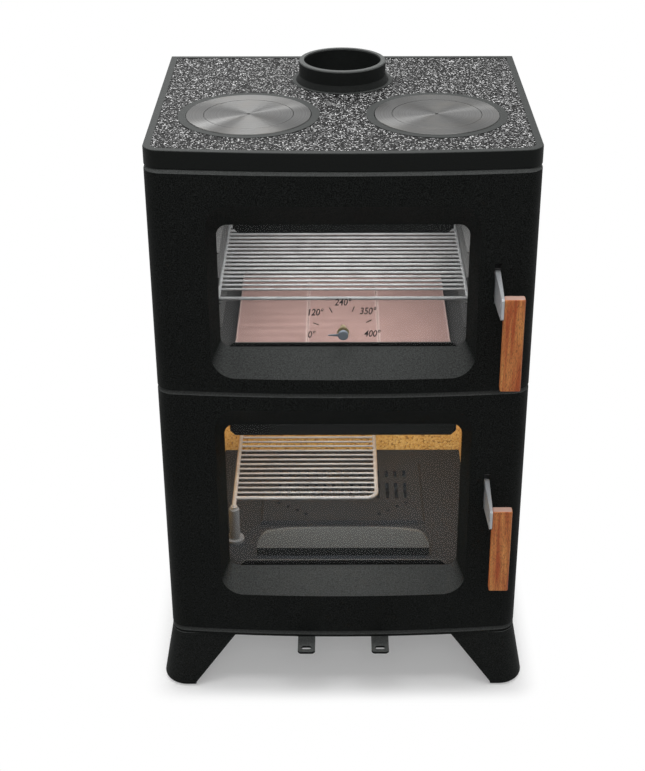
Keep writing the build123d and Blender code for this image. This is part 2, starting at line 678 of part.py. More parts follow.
# ---------------------------------------------------------------- oven
def oven_box():
    """Welded steel box: floor, two sides, back and ceiling, with the smoke passing round it."""
    mouth = FRAME_FACE + 6.0
    outer = OVEN_HALF + SHEET
    return group(
        [
            block((-outer, outer), (mouth, OVEN_REAR), (OVEN_FLOOR - SHEET, OVEN_FLOOR)),
            block((-outer, -OVEN_HALF), (mouth, OVEN_REAR), (OVEN_FLOOR, OVEN_TOP)),
            block((OVEN_HALF, outer), (mouth, OVEN_REAR), (OVEN_FLOOR, OVEN_TOP)),
            block((-outer, outer), (OVEN_REAR, OVEN_REAR + SHEET), (OVEN_FLOOR - SHEET, OVEN_TOP + SHEET)),
            block((-outer, outer), (mouth, OVEN_REAR), (OVEN_TOP, OVEN_TOP + SHEET)),
        ]
    )


def oven_stone(x):
    tile = block(x, (FRAME_FACE + 8.0, OVEN_REAR - 6.0), (OVEN_FLOOR, STONE_TOP))
    return chamfer(tile.edges().group_by(Axis.Z)[-1], 1.5)


def rack_guide():
    """Ladder plate of the right oven wall: four runners, and four slots near the mouth."""
    inner, face = OVEN_HALF - 3.0, FRAME_FACE + 14.0
    rear = OVEN_REAR - 10.0
    plate = block((inner, OVEN_HALF), (face, rear), (RACK_Z - 70.0, RACK_Z + 128.0))
    for level in range(4):
        z = RACK_Z - 3.2 + (level - 1) * GUIDE_PITCH
        plate += block((202.0, inner), (face, rear), (z - 2.0, z))
        plate -= block((inner, OVEN_HALF), (face + 4.0, face + 32.0), (z + 8.0, z + 24.0))
        plate += sideways(Pos(face + 2.5, z + 4.0) * Circle(2.5), (211.0, inner))
    return plate


def oven_rack():
    """Wire shelf: one frame of thick wire, and a row of thin bars that starts behind its front."""
    half, front, rear, frame_wire, bar_wire = 207.0, FRONT + 75.0, FRONT + 386.0, 3.0, 2.2
    first_bar, bars, pitch = FRONT + 109.0, 17, 17.0
    corners = [(-half, front), (half, front), (half, rear), (-half, rear)]
    rack = rod((*corners[-1], RACK_Z), (*corners[0], RACK_Z), frame_wire)
    for start, end in zip(corners, corners[1:]):
        rack += rod((*start, RACK_Z), (*end, RACK_Z), frame_wire)
    for x, y in corners:
        rack += Pos(x, y, RACK_Z) * Sphere(frame_wire)
    for bar in range(bars):
        y = first_bar + bar * pitch
        rack += rod((-half, y, RACK_Z + 1.0), (half, y, RACK_Z + 1.0), bar_wire)
    return rack


# ---------------------------------------------------------------- firebox
def firebox_floor():
    """Cast floor with the ash opening under the grate."""
    floor = block((-262.0, 262.0), (FRAME_FACE + 6.0, FIRE_REAR + LINING), (FIRE_FLOOR - 10.0, FIRE_FLOOR))
    return floor - block((-140.0, 140.0), (FRONT + 215.0, FRONT + 411.0), (FIRE_FLOOR - 10.0, FIRE_FLOOR))


def fire_grate():
    """Raised panel with a bevelled edge, a field of slots and eight round holes."""
    half, y, rise = 157.0, (FRONT + 203.0, FRONT + 423.0), 6.0
    slots, holes, pitch, slot_width = 15, 4, 17.5, 7.0
    grate = block((-half, half), y, (FIRE_FLOOR, FIRE_FLOOR + rise))
    grate = chamfer(grate.edges().group_by(Axis.Z)[-1], 5.0)
    grate += block((-138.0, 138.0), (FRONT + 217.0, FRONT + 409.0), (FIRE_FLOOR - 6.0, FIRE_FLOOR))
    z = (FIRE_FLOOR - 6.0, FIRE_FLOOR + rise)
    for slot in range(slots):
        x = (slot - (slots - 1) / 2) * pitch
        for centre, length in ((FRONT + 313.0, 58.0), (FRONT + 374.5, 26.0)):
            opening = Pos(x, centre) * Rot(0, 0, 90) * SlotOverall(length, slot_width)
            grate -= slab(opening, z)
    for side in (-1, 1):
        for hole in range(holes):
            x = side * (slots // 2 - hole) * pitch
            grate -= disc(x, FRONT + 268.8 - 12.6 * hole, z, 4.2)
    return grate


def log_retainer():
    """Bent plate across the mouth: an upright lip, then a leaning arch with rounded shoulders."""
    half, front, thick, lip, lean = 158.0, FRONT + 100.0, 6.0, 17.0, 28.0
    low = FIRE_FLOOR
    bent = make_face(
        Polyline(
            (front, low),
            (front, low + lip),
            (front + lean, low + lip + lean),
            (front + lean + 4.2, low + lip + lean - 4.2),
            (front + thick, low + lip - 2.5),
            (front + thick, low),
            close=True,
        )
    )
    top = low + lip + lean
    start, bulge, end = low + lip + 4.0, low + lip + 14.0, low + lip + 21.0
    arch = make_face(
        [
            Line((-half, low), (half, low)),
            Line((half, low), (half, start)),
            ThreePointArc((half, start), (half - 7.0, bulge), (half - 22.0, end)),
            ThreePointArc((half - 22.0, end), (0, top), (-half + 22.0, end)),
            ThreePointArc((-half + 22.0, end), (-half + 7.0, bulge), (-half, start)),
            Line((-half, start), (-half, low)),
        ]
    )
    return sideways(bent, (-half, half)) & facing(arch, (front, front + lean + thick))


GRILL_X, GRILL_Y, GRILL_Z = -201.0, FRONT + 152.0, FIRE_FLOOR + 75.0


def grill_socket():
    """Post on the firebox floor; the swinging grill's peg turns in its bore."""
    post = disc(GRILL_X, GRILL_Y, (FIRE_FLOOR, GRILL_Z - 5.0), 9.5)
    post = chamfer(post.edges().group_by(Axis.Z)[-1], 1.2)
    post += disc(GRILL_X, GRILL_Y, (FIRE_FLOOR, FIRE_FLOOR + 6.0), 17.0)
    return post - disc(GRILL_X, GRILL_Y, (FIRE_FLOOR + 12.0, GRILL_Z), HINGE_BORE)


def barbecue_grill():
    """Wire grill on a peg: a thick wire frame with one rounded corner, and thin bars across."""
    frame_wire, front_wire, bar_wire, pitch, bars = 3.8, 3.6, 2.0, 17.0, 13
    right, front, rear, bend = 63.0, FRONT + 179.0, FRONT + 420.0, 20.0
    grill = rod((GRILL_X, GRILL_Y, GRILL_Z), (GRILL_X, rear, GRILL_Z), frame_wire)
    grill += rod((GRILL_X, rear, GRILL_Z), (right, rear, GRILL_Z), frame_wire)
    grill += rod((right, rear, GRILL_Z), (right, front + bend, GRILL_Z), frame_wire)
    quarter_x, quarter_y = (right - bend, right + 10.0), (front - 10.0, front + bend)
    corner = Pos(right - bend, front + bend, GRILL_Z) * Torus(bend, frame_wire)
    grill += corner & block(quarter_x, quarter_y, (GRILL_Z - 10.0, GRILL_Z + 10.0))
    grill += rod((GRILL_X, front, GRILL_Z), (right - bend + 1.0, front, GRILL_Z), front_wire)
    for x, y in ((GRILL_X, rear), (right, rear), (GRILL_X, GRILL_Y)):
        grill += Pos(x, y, GRILL_Z) * Sphere(frame_wire)
    for bar in range(bars):
        y = front + (bar + 1) * pitch
        grill += rod((GRILL_X, y, GRILL_Z + 1.0), (right, y, GRILL_Z + 1.0), bar_wire)
    grill += disc(GRILL_X, GRILL_Y, (GRILL_Z - 4.7, GRILL_Z), 6.0)
    return grill + disc(GRILL_X, GRILL_Y, (FIRE_FLOOR + 14.0, GRILL_Z), HINGE_PIN)


def fire_back():
    return block((-262.0, 262.0), (FIRE_REAR, FIRE_REAR + LINING), (FIRE_FLOOR, LINING_TOP))


def fire_side():
    """Right-hand lining board."""
    return block((FIRE_HALF, FIRE_HALF + LINING), (FRAME_FACE + 6.0, FIRE_REAR), (FIRE_FLOOR, LINING_TOP))


def baffle_plate():
    """Board over the fire that sends the smoke forwards before it rises round the oven."""
    return block((-FIRE_HALF, FIRE_HALF), (FRONT + 150.0, FIRE_REAR), (LINING_TOP - 20.0, LINING_TOP))


def ash_box():
    """Steel channel under the firebox floor that holds the ash drawer."""
    low, high, front, rear = ASH_FLOOR - 3.0, FIRE_FLOOR - 10.0, FRAME_FACE + 6.0, FRONT + 424.0
    outer = ASH_HALF + 3.0
    return group(
        [
            block((-outer, outer), (front, rear), (low, low + 3.0)),
            block((-outer, -ASH_HALF), (front, rear), (low + 3.0, high)),
            block((ASH_HALF, outer), (front, rear), (low + 3.0, high)),
            block((-ASH_HALF, ASH_HALF), (rear - 3.0, rear), (low + 3.0, high)),
        ]
    )


def ash_drawer():
    half, front, rear, wall = 160.0, FRONT + 66.0, FRONT + 416.0, 2.0
    low, high = ASH_FLOOR + 0.3, ASH_FLOOR + 44.0
    drawer = block((-half, half), (front, rear), (low, high))
    drawer -= block((-half + wall, half - wall), (front + wall, rear - wall), (low + wall, high))
    loop = SlotOverall(90.0, 16.0) - SlotOverall(80.0, 8.0)
    pull = facing(Pos(0, ASH_FLOOR + 22.0) * loop, (front - 5.0, front))
    return drawer + pull


# ---------------------------------------------------------------- air levers
AIR_LEVER_X = (-66.0, 66.0)
AIR_LEVER_HALF = 15.5
AIR_LEVER_FRONT = FRONT - 53.0
AIR_SLOTS = (FRONT + 120.0, FRONT + 150.0)
AIR_GUIDE_Y = (FRONT + 30.0, FRONT + 90.0)


def air_lever(x):
    """Flat bar under the base plate: pull tab with a slot in front, two ports behind."""
    length = 230.0
    middle = AIR_LEVER_FRONT + length / 2
    bar = Pos(x, middle) * RectangleRounded(2 * AIR_LEVER_HALF, length, 7.0)
    bar -= Pos(x, AIR_LEVER_FRONT + 13.0) * SlotOverall(18.0, 9.0)
    for y in AIR_SLOTS:
        bar -= Pos(x, y + 15.0) * SlotOverall(22.0, 10.0)
    return slab(bar, (BASE_LOW - 4.3, BASE_LOW - 0.3))


# ---------------------------------------------------------------- write every node
def main():
    save("cooktop_plate", cooktop_plate())
    save("flue_collar", flue_collar())
    for side, x in (("left", -HOB_X), ("right", HOB_X)):
        save("hob_ring_" + side, hob_ring(x))
        save("hob_lid_" + side, hob_lid(x))

    save("base_plate", base_plate())
    leg = leg_front_right()
    save("leg_front_right", leg)
    save("leg_front_left", mirror_x(leg))
    save("leg_rear_right", to_rear(leg))
    save("leg_rear_left", mirror_x(to_rear(leg)))
    save("leg_bolts", leg_bolts())
    save("side_panel_right", side_panel())
    save("side_panel_left", mirror_x(side_panel()))
    save("back_panel", back_panel())
    save("casing_screws", casing_screws())
    save("front_frame", front_frame())

    drop = Pos(0, 0, -HANDLE_STEP)
    for name, span, window, place in (
        ("upper", UPPER_DOOR, UPPER_WINDOW, Pos(0, 0, 0)),
        ("lower", LOWER_DOOR, LOWER_WINDOW, drop),
    ):
        save(name + "_door_frame", door_frame(span, window))
        save(name + "_door_glass", door_glass(window))
        save(name + "_glass_seal", glass_seal(window))
        save(name + "_glass_clips", glass_clips(window))
        save(name + "_door_seal", door_seal(span))
        save(name + "_handle_lever", place * handle_lever())
        save(name + "_handle_grip", place * handle_grip())
        save(name + "_grip_screws", place * grip_screws())
        save(name + "_latch_bracket", place * latch_bracket())
    save("latch_catches", latch_catches())
    save("hinge_plate", hinge_plate())
    save("hinge_pins", hinge_pins())
    save("thermometer_hub", thermometer_hub())
    save("thermometer_needle", thermometer_needle())

    save("oven_box", oven_box())
    save("rack_guide_right", rack_guide())
    save("rack_guide_left", mirror_x(rack_guide()))
    third, stones_half = 61.8, 185.5
    save("oven_stone_left", oven_stone((-stones_half, -third)))
    save("oven_stone_middle", oven_stone((-third + 0.3, third - 0.3)))
    save("oven_stone_right", oven_stone((third, stones_half)))
    save("oven_rack", oven_rack())

    save("firebox_floor", firebox_floor())
    save("fire_grate", fire_grate())
    save("log_retainer", log_retainer())
    save("grill_socket", grill_socket())
    save("barbecue_grill", barbecue_grill())
    save("fire_back", fire_back())
    save("fire_side_right", fire_side())
    save("fire_side_left", mirror_x(fire_side()))
    save("baffle_plate", baffle_plate())
    save("ash_box", ash_box())
    save("ash_drawer", ash_drawer())
    for name, x in zip(("primary_air_lever", "secondary_air_lever"), AIR_LEVER_X):
        save(name, air_lever(x))


main()
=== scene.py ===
# %% [markdown]
# # Wood cookstove: its finishes
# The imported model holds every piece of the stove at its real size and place, in metres, with +Z up
# and the doors facing -Y. No piece is moved here. What Blender adds is what the eye gets from the
# real stove: how each surface was made, the numbers on the oven thermometer, the light and the view.

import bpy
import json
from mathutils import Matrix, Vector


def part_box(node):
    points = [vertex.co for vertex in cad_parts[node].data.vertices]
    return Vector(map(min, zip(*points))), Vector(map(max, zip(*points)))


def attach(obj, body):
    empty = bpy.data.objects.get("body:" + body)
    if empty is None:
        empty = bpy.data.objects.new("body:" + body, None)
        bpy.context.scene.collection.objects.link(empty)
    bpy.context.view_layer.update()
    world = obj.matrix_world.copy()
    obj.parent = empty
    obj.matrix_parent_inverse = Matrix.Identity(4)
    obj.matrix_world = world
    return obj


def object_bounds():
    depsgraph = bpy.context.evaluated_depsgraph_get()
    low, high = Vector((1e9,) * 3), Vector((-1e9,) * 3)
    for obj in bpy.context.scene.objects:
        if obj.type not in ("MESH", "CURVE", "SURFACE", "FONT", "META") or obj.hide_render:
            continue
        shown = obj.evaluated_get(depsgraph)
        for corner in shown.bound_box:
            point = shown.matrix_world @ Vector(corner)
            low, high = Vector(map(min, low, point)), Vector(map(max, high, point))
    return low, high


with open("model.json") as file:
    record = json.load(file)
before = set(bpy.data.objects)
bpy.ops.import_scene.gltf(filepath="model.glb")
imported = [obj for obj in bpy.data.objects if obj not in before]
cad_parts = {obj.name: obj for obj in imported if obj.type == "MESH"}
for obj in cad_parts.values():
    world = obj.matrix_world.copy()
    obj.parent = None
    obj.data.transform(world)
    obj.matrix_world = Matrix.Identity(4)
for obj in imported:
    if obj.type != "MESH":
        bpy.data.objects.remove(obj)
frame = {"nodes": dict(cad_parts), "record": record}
cad_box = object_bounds()
print("pieces in the frame:", len(frame["nodes"]))

# %% [markdown]
# ## Modules and millimetres
# Patterns are thought of in millimetres, as a maker thinks of them, while Blender's textures want
# a scale: how many repeats fit in one metre. One small function turns the one into the other.

# %% Sizes in millimetres
import json
import math

import bpy
from mathutils import Vector

MM = 0.001


def per_metre(size_mm):
    """Texture scale that makes one feature about size_mm wide."""
    return 1000.0 / size_mm


print("a grain of 1 mm has scale", per_metre(1.0))

# %% [markdown]
# ## The camera
# The photograph looks down on the stove from the front, about 28 degrees below the horizon, with
# a fairly long lens. A camera can be placed by eye, but a fitted one puts each corner where the
# photograph has it. These values come from fitting a pinhole camera to the corners of the cooktop
# and of the windows, and keep the fit's digits: the turn of a quarter of a degree moves the stove by
# about a centimetre. The sensor shift moves it a little to the right in the picture.

# %% Camera
CAMERA_PLACE = (-0.0099, -2.4316, 1.8068)
CAMERA_DOWN = 28.382         # degrees below the horizon
CAMERA_TURN = -0.2395        # degrees away from straight ahead, to the right
CAMERA_LENS = 70.724         # millimetres, for a picture 36 mm along its longer side
CAMERA_SHIFT = -0.02637      # share of the picture's longer side

camera = bpy.data.objects.new("camera", bpy.data.cameras.new("camera"))
bpy.context.scene.collection.objects.link(camera)
camera.location = CAMERA_PLACE
camera.rotation_euler = (math.radians(90.0 - CAMERA_DOWN), 0.0, math.radians(CAMERA_TURN))
camera.data.lens = CAMERA_LENS
camera.data.shift_x = CAMERA_SHIFT
bpy.context.scene.camera = camera
bpy.context.scene.view_settings.view_transform = "Standard"
print("camera looks down", CAMERA_DOWN, "degrees")

# %% [markdown]
# ## Colours
# Colours are written as sRGB hex, as read from a picture. Blender's shaders work with linear light,
# so one function undoes the sRGB curve, which is straight near black and a power above it.

# %% From hex to linear light
def hex_colour(text):
    """sRGB hex such as 'a0b1c2' as linear red, green, blue and alpha."""
    parts = [int(text[i:i + 2], 16) / 255.0 for i in (0, 2, 4)]
    linear = [c / 12.92 if c <= 0.04045 else ((c + 0.055) / 1.055) ** 2.4 for c in parts]
    return (*linear, 1.0)


print("mid grey 808080 in linear light:", [round(c, 3) for c in hex_colour("808080")])

# %% [markdown]
# ## Building materials from nodes
# Every finish below is a small graph of nodes. One function adds a node, sets its own options, and
# fills its sockets. A socket takes a number, a hex colour, the output of an earlier node, or just
# that node, which then means its first visible output. Some nodes have several sockets of one name
# and show only those that suit their options, so a name finds the one that shows. Where several of
# one name show together, as on a Math node, the sockets go by number.

# %% Adding nodes
def shown(sockets, name=None):
    """The first socket that a node shows with its present options, of that name if one is given."""
    return next(socket for socket in sockets if socket.enabled and name in (None, socket.name))


def add(tree, kind, sockets=None, **options):
    """One node of a tree: its options, then its sockets by name or number."""
    node = tree.nodes.new("ShaderNode" + kind)
    for name, value in options.items():
        setattr(node, name, value)
    for key, value in (sockets or {}).items():
        socket = node.inputs[key] if isinstance(key, int) else shown(node.inputs, key)
        if isinstance(value, bpy.types.Node):
            value = shown(value.outputs)
        if isinstance(value, bpy.types.NodeSocket):
            tree.links.new(value, socket)
        else:
            socket.default_value = hex_colour(value) if isinstance(value, str) else value
    return node


def start(name):
    """A new material, its empty tree, and the place on the piece in metres."""
    material = bpy.data.materials.new(name)
    material.use_nodes = True
    tree = material.node_tree
    tree.nodes.clear()
    return material, tree, add(tree, "TexCoord").outputs["Object"]


def finished(material, surface):
    """The material, with its last shader joined to its output."""
    add(material.node_tree, "OutputMaterial", {"Surface": surface})
    return material


print("helpers ready:", ", ".join(helper.__name__ for helper in (shown, add, start, finished)))

# %% [markdown]
# ## Who sees the white studio
# The photograph is a cut-out on white. A floor and a world bright enough to be white in the picture
# would also flood the stove with light from all sides. Cycles can tell apart the rays that reach
# the camera, straight or by way of shiny metal and glass, and the rays that only carry bounced
# light. So floor and world are white for the first kind and a moderate grey for the second.

# %% Telling the rays apart
def seen_by_camera(tree):
    """1 for what the camera sees, straight or in metal and glass, and 0 for bounced light."""
    path = add(tree, "LightPath").outputs
    straight_or_mirrored = {0: path["Is Camera Ray"], 1: path["Is Glossy Ray"]}
    seen = add(tree, "Math", straight_or_mirrored, operation="MAXIMUM")
    return add(tree, "Math", {0: seen, 1: path["Is Transmission Ray"]}, operation="MAXIMUM")


print("rays are told apart by", seen_by_camera.__name__)

# %% [markdown]
# ## The floor keeps the shadow
# Under the stove lies a soft shadow. A real white sheet would show it, but its far end is always a
# little greyer than its middle. So the floor is a matt pale sheet near the stove, where the shadow
# falls, and turns into even white further out. How far out a point lies is measured from a
# rectangle a little smaller than the stove's outline, because the photographed shadow ends early.

# %% Floor
FLOOR_HALF = 9.0                # metres, from the middle to each edge
SHADOW_INSET = (0.028, 0.065)   # metres inside the stove's outline in X and Y, where the fade begins
SHADOW_REACH = 0.065            # metres from there, where the shadow is gone
FLOOR_LIFT = 0.25               # light added in front of the camera, so that open floor is white
ANY_HEIGHT = 1.0                # metres; the floor lies at 0, so its height never counts

floor_material, tree, place = start("matt white studio floor")
half_size = ((cad_box[1].x - cad_box[0].x) / 2 - SHADOW_INSET[0],
             (cad_box[1].y - cad_box[0].y) / 2 - SHADOW_INSET[1], ANY_HEIGHT)
mirrored = add(tree, "VectorMath", {0: place}, operation="ABSOLUTE")
outside = add(tree, "VectorMath", {0: mirrored, 1: half_size}, operation="SUBTRACT")
outside = add(tree, "VectorMath", {0: outside, 1: (0.0, 0.0, 0.0)}, operation="MAXIMUM")
distance = add(tree, "VectorMath", {0: outside}, operation="LENGTH")
faded = add(tree, "MapRange", {"Value": distance, "From Max": SHADOW_REACH},
            interpolation_type="SMOOTHSTEP")
matt = add(tree, "BsdfDiffuse", {"Color": "e4e4e4"})
lift = add(tree, "Emission", {"Color": "ffffff", "Strength": FLOOR_LIFT})
lit = add(tree, "AddShader", {0: matt, 1: lift})
white = add(tree, "Emission", {"Color": "ffffff", "Strength": 1.0})
near_or_far = add(tree, "MixShader", {0: faded, 1: lit, 2: white})
grey = add(tree, "BsdfDiffuse", {"Color": "8c8c8c"})
finished(floor_material, add(tree, "MixShader", {0: seen_by_camera(tree), 1: grey, 2: near_or_far}))

floor_mesh = bpy.data.meshes.new("floor")
corners = [(-FLOOR_HALF, -FLOOR_HALF, 0), (FLOOR_HALF, -FLOOR_HALF, 0),
           (FLOOR_HALF, FLOOR_HALF, 0), (-FLOOR_HALF, FLOOR_HALF, 0)]
floor_mesh.from_pydata(corners, [], [(0, 1, 2, 3)])
floor = bpy.data.objects.new("floor", floor_mesh)
bpy.context.scene.collection.objects.link(floor)
floor.data.materials.append(floor_material)
print("floor half width in metres:", FLOOR_HALF)

# %% [markdown]
# ## The lamps round the stove
# The stove is black, so the light is felt on the edges and on what faces up. A wide overhead
# softbox gives that and the soft shadow. A weaker one in front reaches into the oven and the
# firebox, and one at the left models the shapes. Two lower ones behind the stove, one for each hob,
# are mirrored by the grooves of the turned steel, which draws the bright fan across it. Point lamps
# would do none of this, because a softbox's size is what makes a highlight wide and a shadow soft.

# %% Softboxes
def softbox(name, place, target, size, brightness):
    """Rectangular lamp that faces target; brightness is how bright its own face is, 1 is white."""
    data = bpy.data.lights.new(name, "AREA")
    data.shape = "RECTANGLE"
    data.size, data.size_y = size
    data.energy = brightness * math.pi * size[0] * size[1]
    lamp = bpy.data.objects.new(name, data)
    bpy.context.scene.collection.objects.link(lamp)
    lamp.location = place
    lamp.rotation_euler = (Vector(target) - Vector(place)).to_track_quat("-Z", "Y").to_euler()
    return lamp


softbox("overhead", (0.0, 0.15, 3.2), (0.0, 0.0, 0.8), (2.4, 2.4), 3.8)
softbox("front", (0.0, -3.2, 2.6), (0.0, 0.0, 0.6), (2.2, 1.4), 2.2)
softbox("left", (-1.9, 0.55, 2.75), (0.0, 0.0, 1.0), (0.5, 0.9), 4.0)
softbox("fan of the left hob", (-0.85, 2.05, 2.35), (-0.15, -0.05, 1.02), (0.36, 0.26), 26.0)
softbox("fan of the right hob", (-0.25, 2.05, 2.40), (0.15, -0.05, 1.02), (0.36, 0.26), 15.0)

# %% [markdown]
# ## The lamps in the two chambers
# Oven and firebox stay black unless light is bounced into them, as a photographer would do with a
# white card. Each gets two small lamps instead, which neither the camera nor shiny metal and glass
# can see: one just inside its mouth, aimed back and down, and one under its ceiling. They are
# placed from the mouth, which is the rear of the frame that the doors close on, and the ceiling.

# %% Lamps in the chambers
CHAMBER_LAMPS = (
    # name; metres behind the mouth and below the ceiling, for lamp and for target; size; brightness
    ("mouth", (0.02, 0.02), (0.30, 0.25), (0.40, 0.09), 18.0),
    ("ceiling", (0.16, 0.012), (0.16, 0.5), (0.24, 0.20), 6.0),
)
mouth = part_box("front_frame")[1].y
ceilings = {"oven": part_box("oven_box")[1].z, "firebox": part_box("baffle_plate")[0].z}
for chamber, ceiling in ceilings.items():
    for name, (behind, below), (target_behind, target_below), size, brightness in CHAMBER_LAMPS:
        lamp = softbox(chamber + " " + name, (0.0, mouth + behind, ceiling - below),
                       (0.0, mouth + target_behind, ceiling - target_below), size, brightness)
        lamp.visible_camera = False
        lamp.visible_glossy = False

# %% [markdown]
# ## The world round the studio
# The room beyond the floor is white for the camera and gives the stove only a weak even light,
# which keeps the shadow sides from going fully black.

# %% World
WORLD_LIGHT = 0.25           # light on the stove, where 1 is white

world = bpy.data.worlds.new("white studio")
bpy.context.scene.world = world
world.use_nodes = True
tree = world.node_tree
tree.nodes.clear()
dim = add(tree, "Background", {"Color": "ffffff", "Strength": WORLD_LIGHT})
plain = add(tree, "Background", {"Color": "ffffff", "Strength": 1.0})
mixed = add(tree, "MixShader", {0: seen_by_camera(tree), 1: dim, 2: plain})
add(tree, "OutputWorld", {"Surface": mixed})
print("world:", world.name)

# %% [markdown]
# ## Painted cast iron
# Doors, legs and base are grey iron cast in sand, then sprayed with heat-resistant matt black
# paint. The sand leaves grains of about a millimetre and a half that the paint does not fill, so
# the black glitters faintly. Faces that look up are painted paler, partly for fine grey ash and
# handling marks and partly as painted light from above. A photographed texture would need its own
# layout on each casting. A noise counted in millimetres fits all of them, so the grains are a noise
# used as relief, and the ash with its painted top light is a paler colour on what faces up. The
# paint is so matt that its specular level is a tenth of the usual one.

# %% Painted cast iron
def facing_up(tree, from_slope, to_slope):
    """0 on upright faces, 1 on those that look up; the slopes are heights of the surface normal."""
    normal = add(tree, "NewGeometry").outputs["Normal"]
    up = add(tree, "SeparateXYZ", {"Vector": normal}).outputs["Z"]
    return add(tree, "MapRange", {"Value": up, "From Min": from_slope, "From Max": to_slope})


def painted_iron():
    material, tree, place = start("matt black paint on sand-cast iron")
    grain = add(tree, "TexNoise", {"Vector": place, "Scale": per_metre(1.6), "Detail": 2.0})
    cloud = add(tree, "TexNoise", {"Vector": place, "Scale": per_metre(90.0), "Detail": 3.0})
    glitter = add(tree, "MapRange", {"Value": grain, "From Min": 0.35, "From Max": 0.70})
    black = add(tree, "Mix", {"Factor": glitter, "A": "070908", "B": "2a2c2b"}, data_type="RGBA")
    # painted top light, partly real ash and handling marks: faces that look up get a paler colour
    pale_grain = add(tree, "MapRange", {"Value": grain, "From Min": 0.30, "From Max": 0.70})
    ash = add(tree, "Mix", {"Factor": pale_grain, "A": "3d3f3e", "B": "5c5e5d"}, data_type="RGBA")
    share = facing_up(tree, 0.15, 0.70)
    colour = add(tree, "Mix", {"Factor": share, "A": black, "B": ash}, data_type="RGBA")
    worn = add(tree, "Math", {0: grain, 1: cloud}, operation="MULTIPLY")
    roughness = add(tree, "MapRange", {"Value": worn, "From Min": 0.15, "From Max": 0.45,
                                       "To Min": 0.58, "To Max": 0.76})
    return finished(material, add(tree, "BsdfPrincipled", {
        "Base Color": colour,
        "Roughness": roughness,
        "Specular IOR Level": 0.05,
        "Normal": add(tree, "Bump", {"Height": grain, "Distance": 0.30 * MM}),
    }))


paint = painted_iron()
print("made:", paint.name)

# %% [markdown]
# ## The cooktop
# The plate is one casting. Its border and the rings round the hobs and the collar are ground
# smooth and stay plain grey, and the sunk field between them is a coarse speckled enamel, like
# granite. Two materials on one piece would need its faces sorted by hand. The field lies 0.8 mm
# lower, so the height of a point tells the two apart, and a point only counts if it is flat too,
# which leaves out the little step round the field. Each speck is one Voronoi cell about 2 mm wide
# with its own random brightness, raised to a high power so that few are white. The smooth parts
# are painted paler where they face up and darker on upright faces: a painted light from above
# over their own ground grey.

# %% Where the field is
FIELD_DEPTH = 0.8 * MM
FIELD_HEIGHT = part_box("cooktop_plate")[1].z - FIELD_DEPTH
HEIGHT_MARGIN = 0.3 * MM


def in_the_field(tree, place):
    """1 on the sunk field of the cooktop, and 0 elsewhere."""
    height = add(tree, "SeparateXYZ", {"Vector": place}).outputs["Z"]
    level = add(tree, "Math", {0: height, 1: FIELD_HEIGHT, 2: HEIGHT_MARGIN}, operation="COMPARE")
    return add(tree, "Math", {0: level, 1: facing_up(tree, 0.985, 0.995)}, operation="MULTIPLY")


print("the cooktop's field lies at", round(FIELD_HEIGHT, 4), "m")

# %% Speckled cooktop
def cooktop_finish():
    material, tree, place = start("speckled enamel on cast iron")
    field = in_the_field(tree, place)
    cells = add(tree, "TexVoronoi", {"Vector": place, "Scale": per_metre(1.9)})
    chance = add(tree, "SeparateColor", {"Color": cells.outputs["Color"]}).outputs["Red"]
    rare = add(tree, "Math", {0: chance, 1: 10.0}, operation="POWER")
    specks = add(tree, "Mix", {"Factor": rare, "A": "030303", "B": "f4f4f4"}, data_type="RGBA")
    grain = add(tree, "TexNoise", {"Vector": place, "Scale": per_metre(1.6), "Detail": 2.0})
    # painted top light: the smooth parts are paler where they face up and dark on upright faces
    upright = add(tree, "Mix", {"Factor": grain, "A": "111312", "B": "1d1f1e"}, data_type="RGBA")
    ground_with_painted_top_light = add(tree, "Mix", {"Factor": grain, "A": "343635", "B": "3d3f3e"}, data_type="RGBA")
    share = facing_up(tree, 0.35, 0.95)
    smooth_with_painted_top_light = add(tree, "Mix", {"Factor": share, "A": upright, "B": ground_with_painted_top_light}, data_type="RGBA")
    relief = add(tree, "Math", {0: cells, 1: field}, operation="MULTIPLY")
    relief = add(tree, "Math", {0: grain, 1: 0.35, 2: relief}, operation="MULTIPLY_ADD")
    return finished(material, add(tree, "BsdfPrincipled", {
        "Base Color": add(tree, "Mix", {"Factor": field, "A": smooth_with_painted_top_light, "B": specks}, data_type="RGBA"),
        "Roughness": add(tree, "MapRange", {"Value": field, "To Min": 0.55, "To Max": 0.60}),
        "Specular IOR Level": 0.08,
        "Normal": add(tree, "Bump", {"Height": relief, "Distance": 0.5 * MM}),
    }))


cooktop = cooktop_finish()
print("made:", cooktop.name)

# %% [markdown]
# ## Turned steel hobs
# Rings and lids are faced on a lathe. The tool leaves fine circular grooves, and grooves spread
# light across themselves only, which gives the bright fan through the middle. The grooves could be
# modelled, but that many would swamp the mesh. Blender's Principled shader spreads the light with
# its Anisotropic value and a tangent that runs round the axis, turned by a quarter so that the
# spread goes across the grooves. They are also drawn as a faint relief: real ones are 0.2 mm apart,
# and they are drawn 1.3 mm apart so that they show at this distance. Where the lathe's centre sat,
# the lids have a small dimple, painted dark as the shade inside it.

# %% Turned steel
GROOVE_MM = 1.3
DIMPLE_EDGE = (1.8, 2.4)     # in grooves from the axis


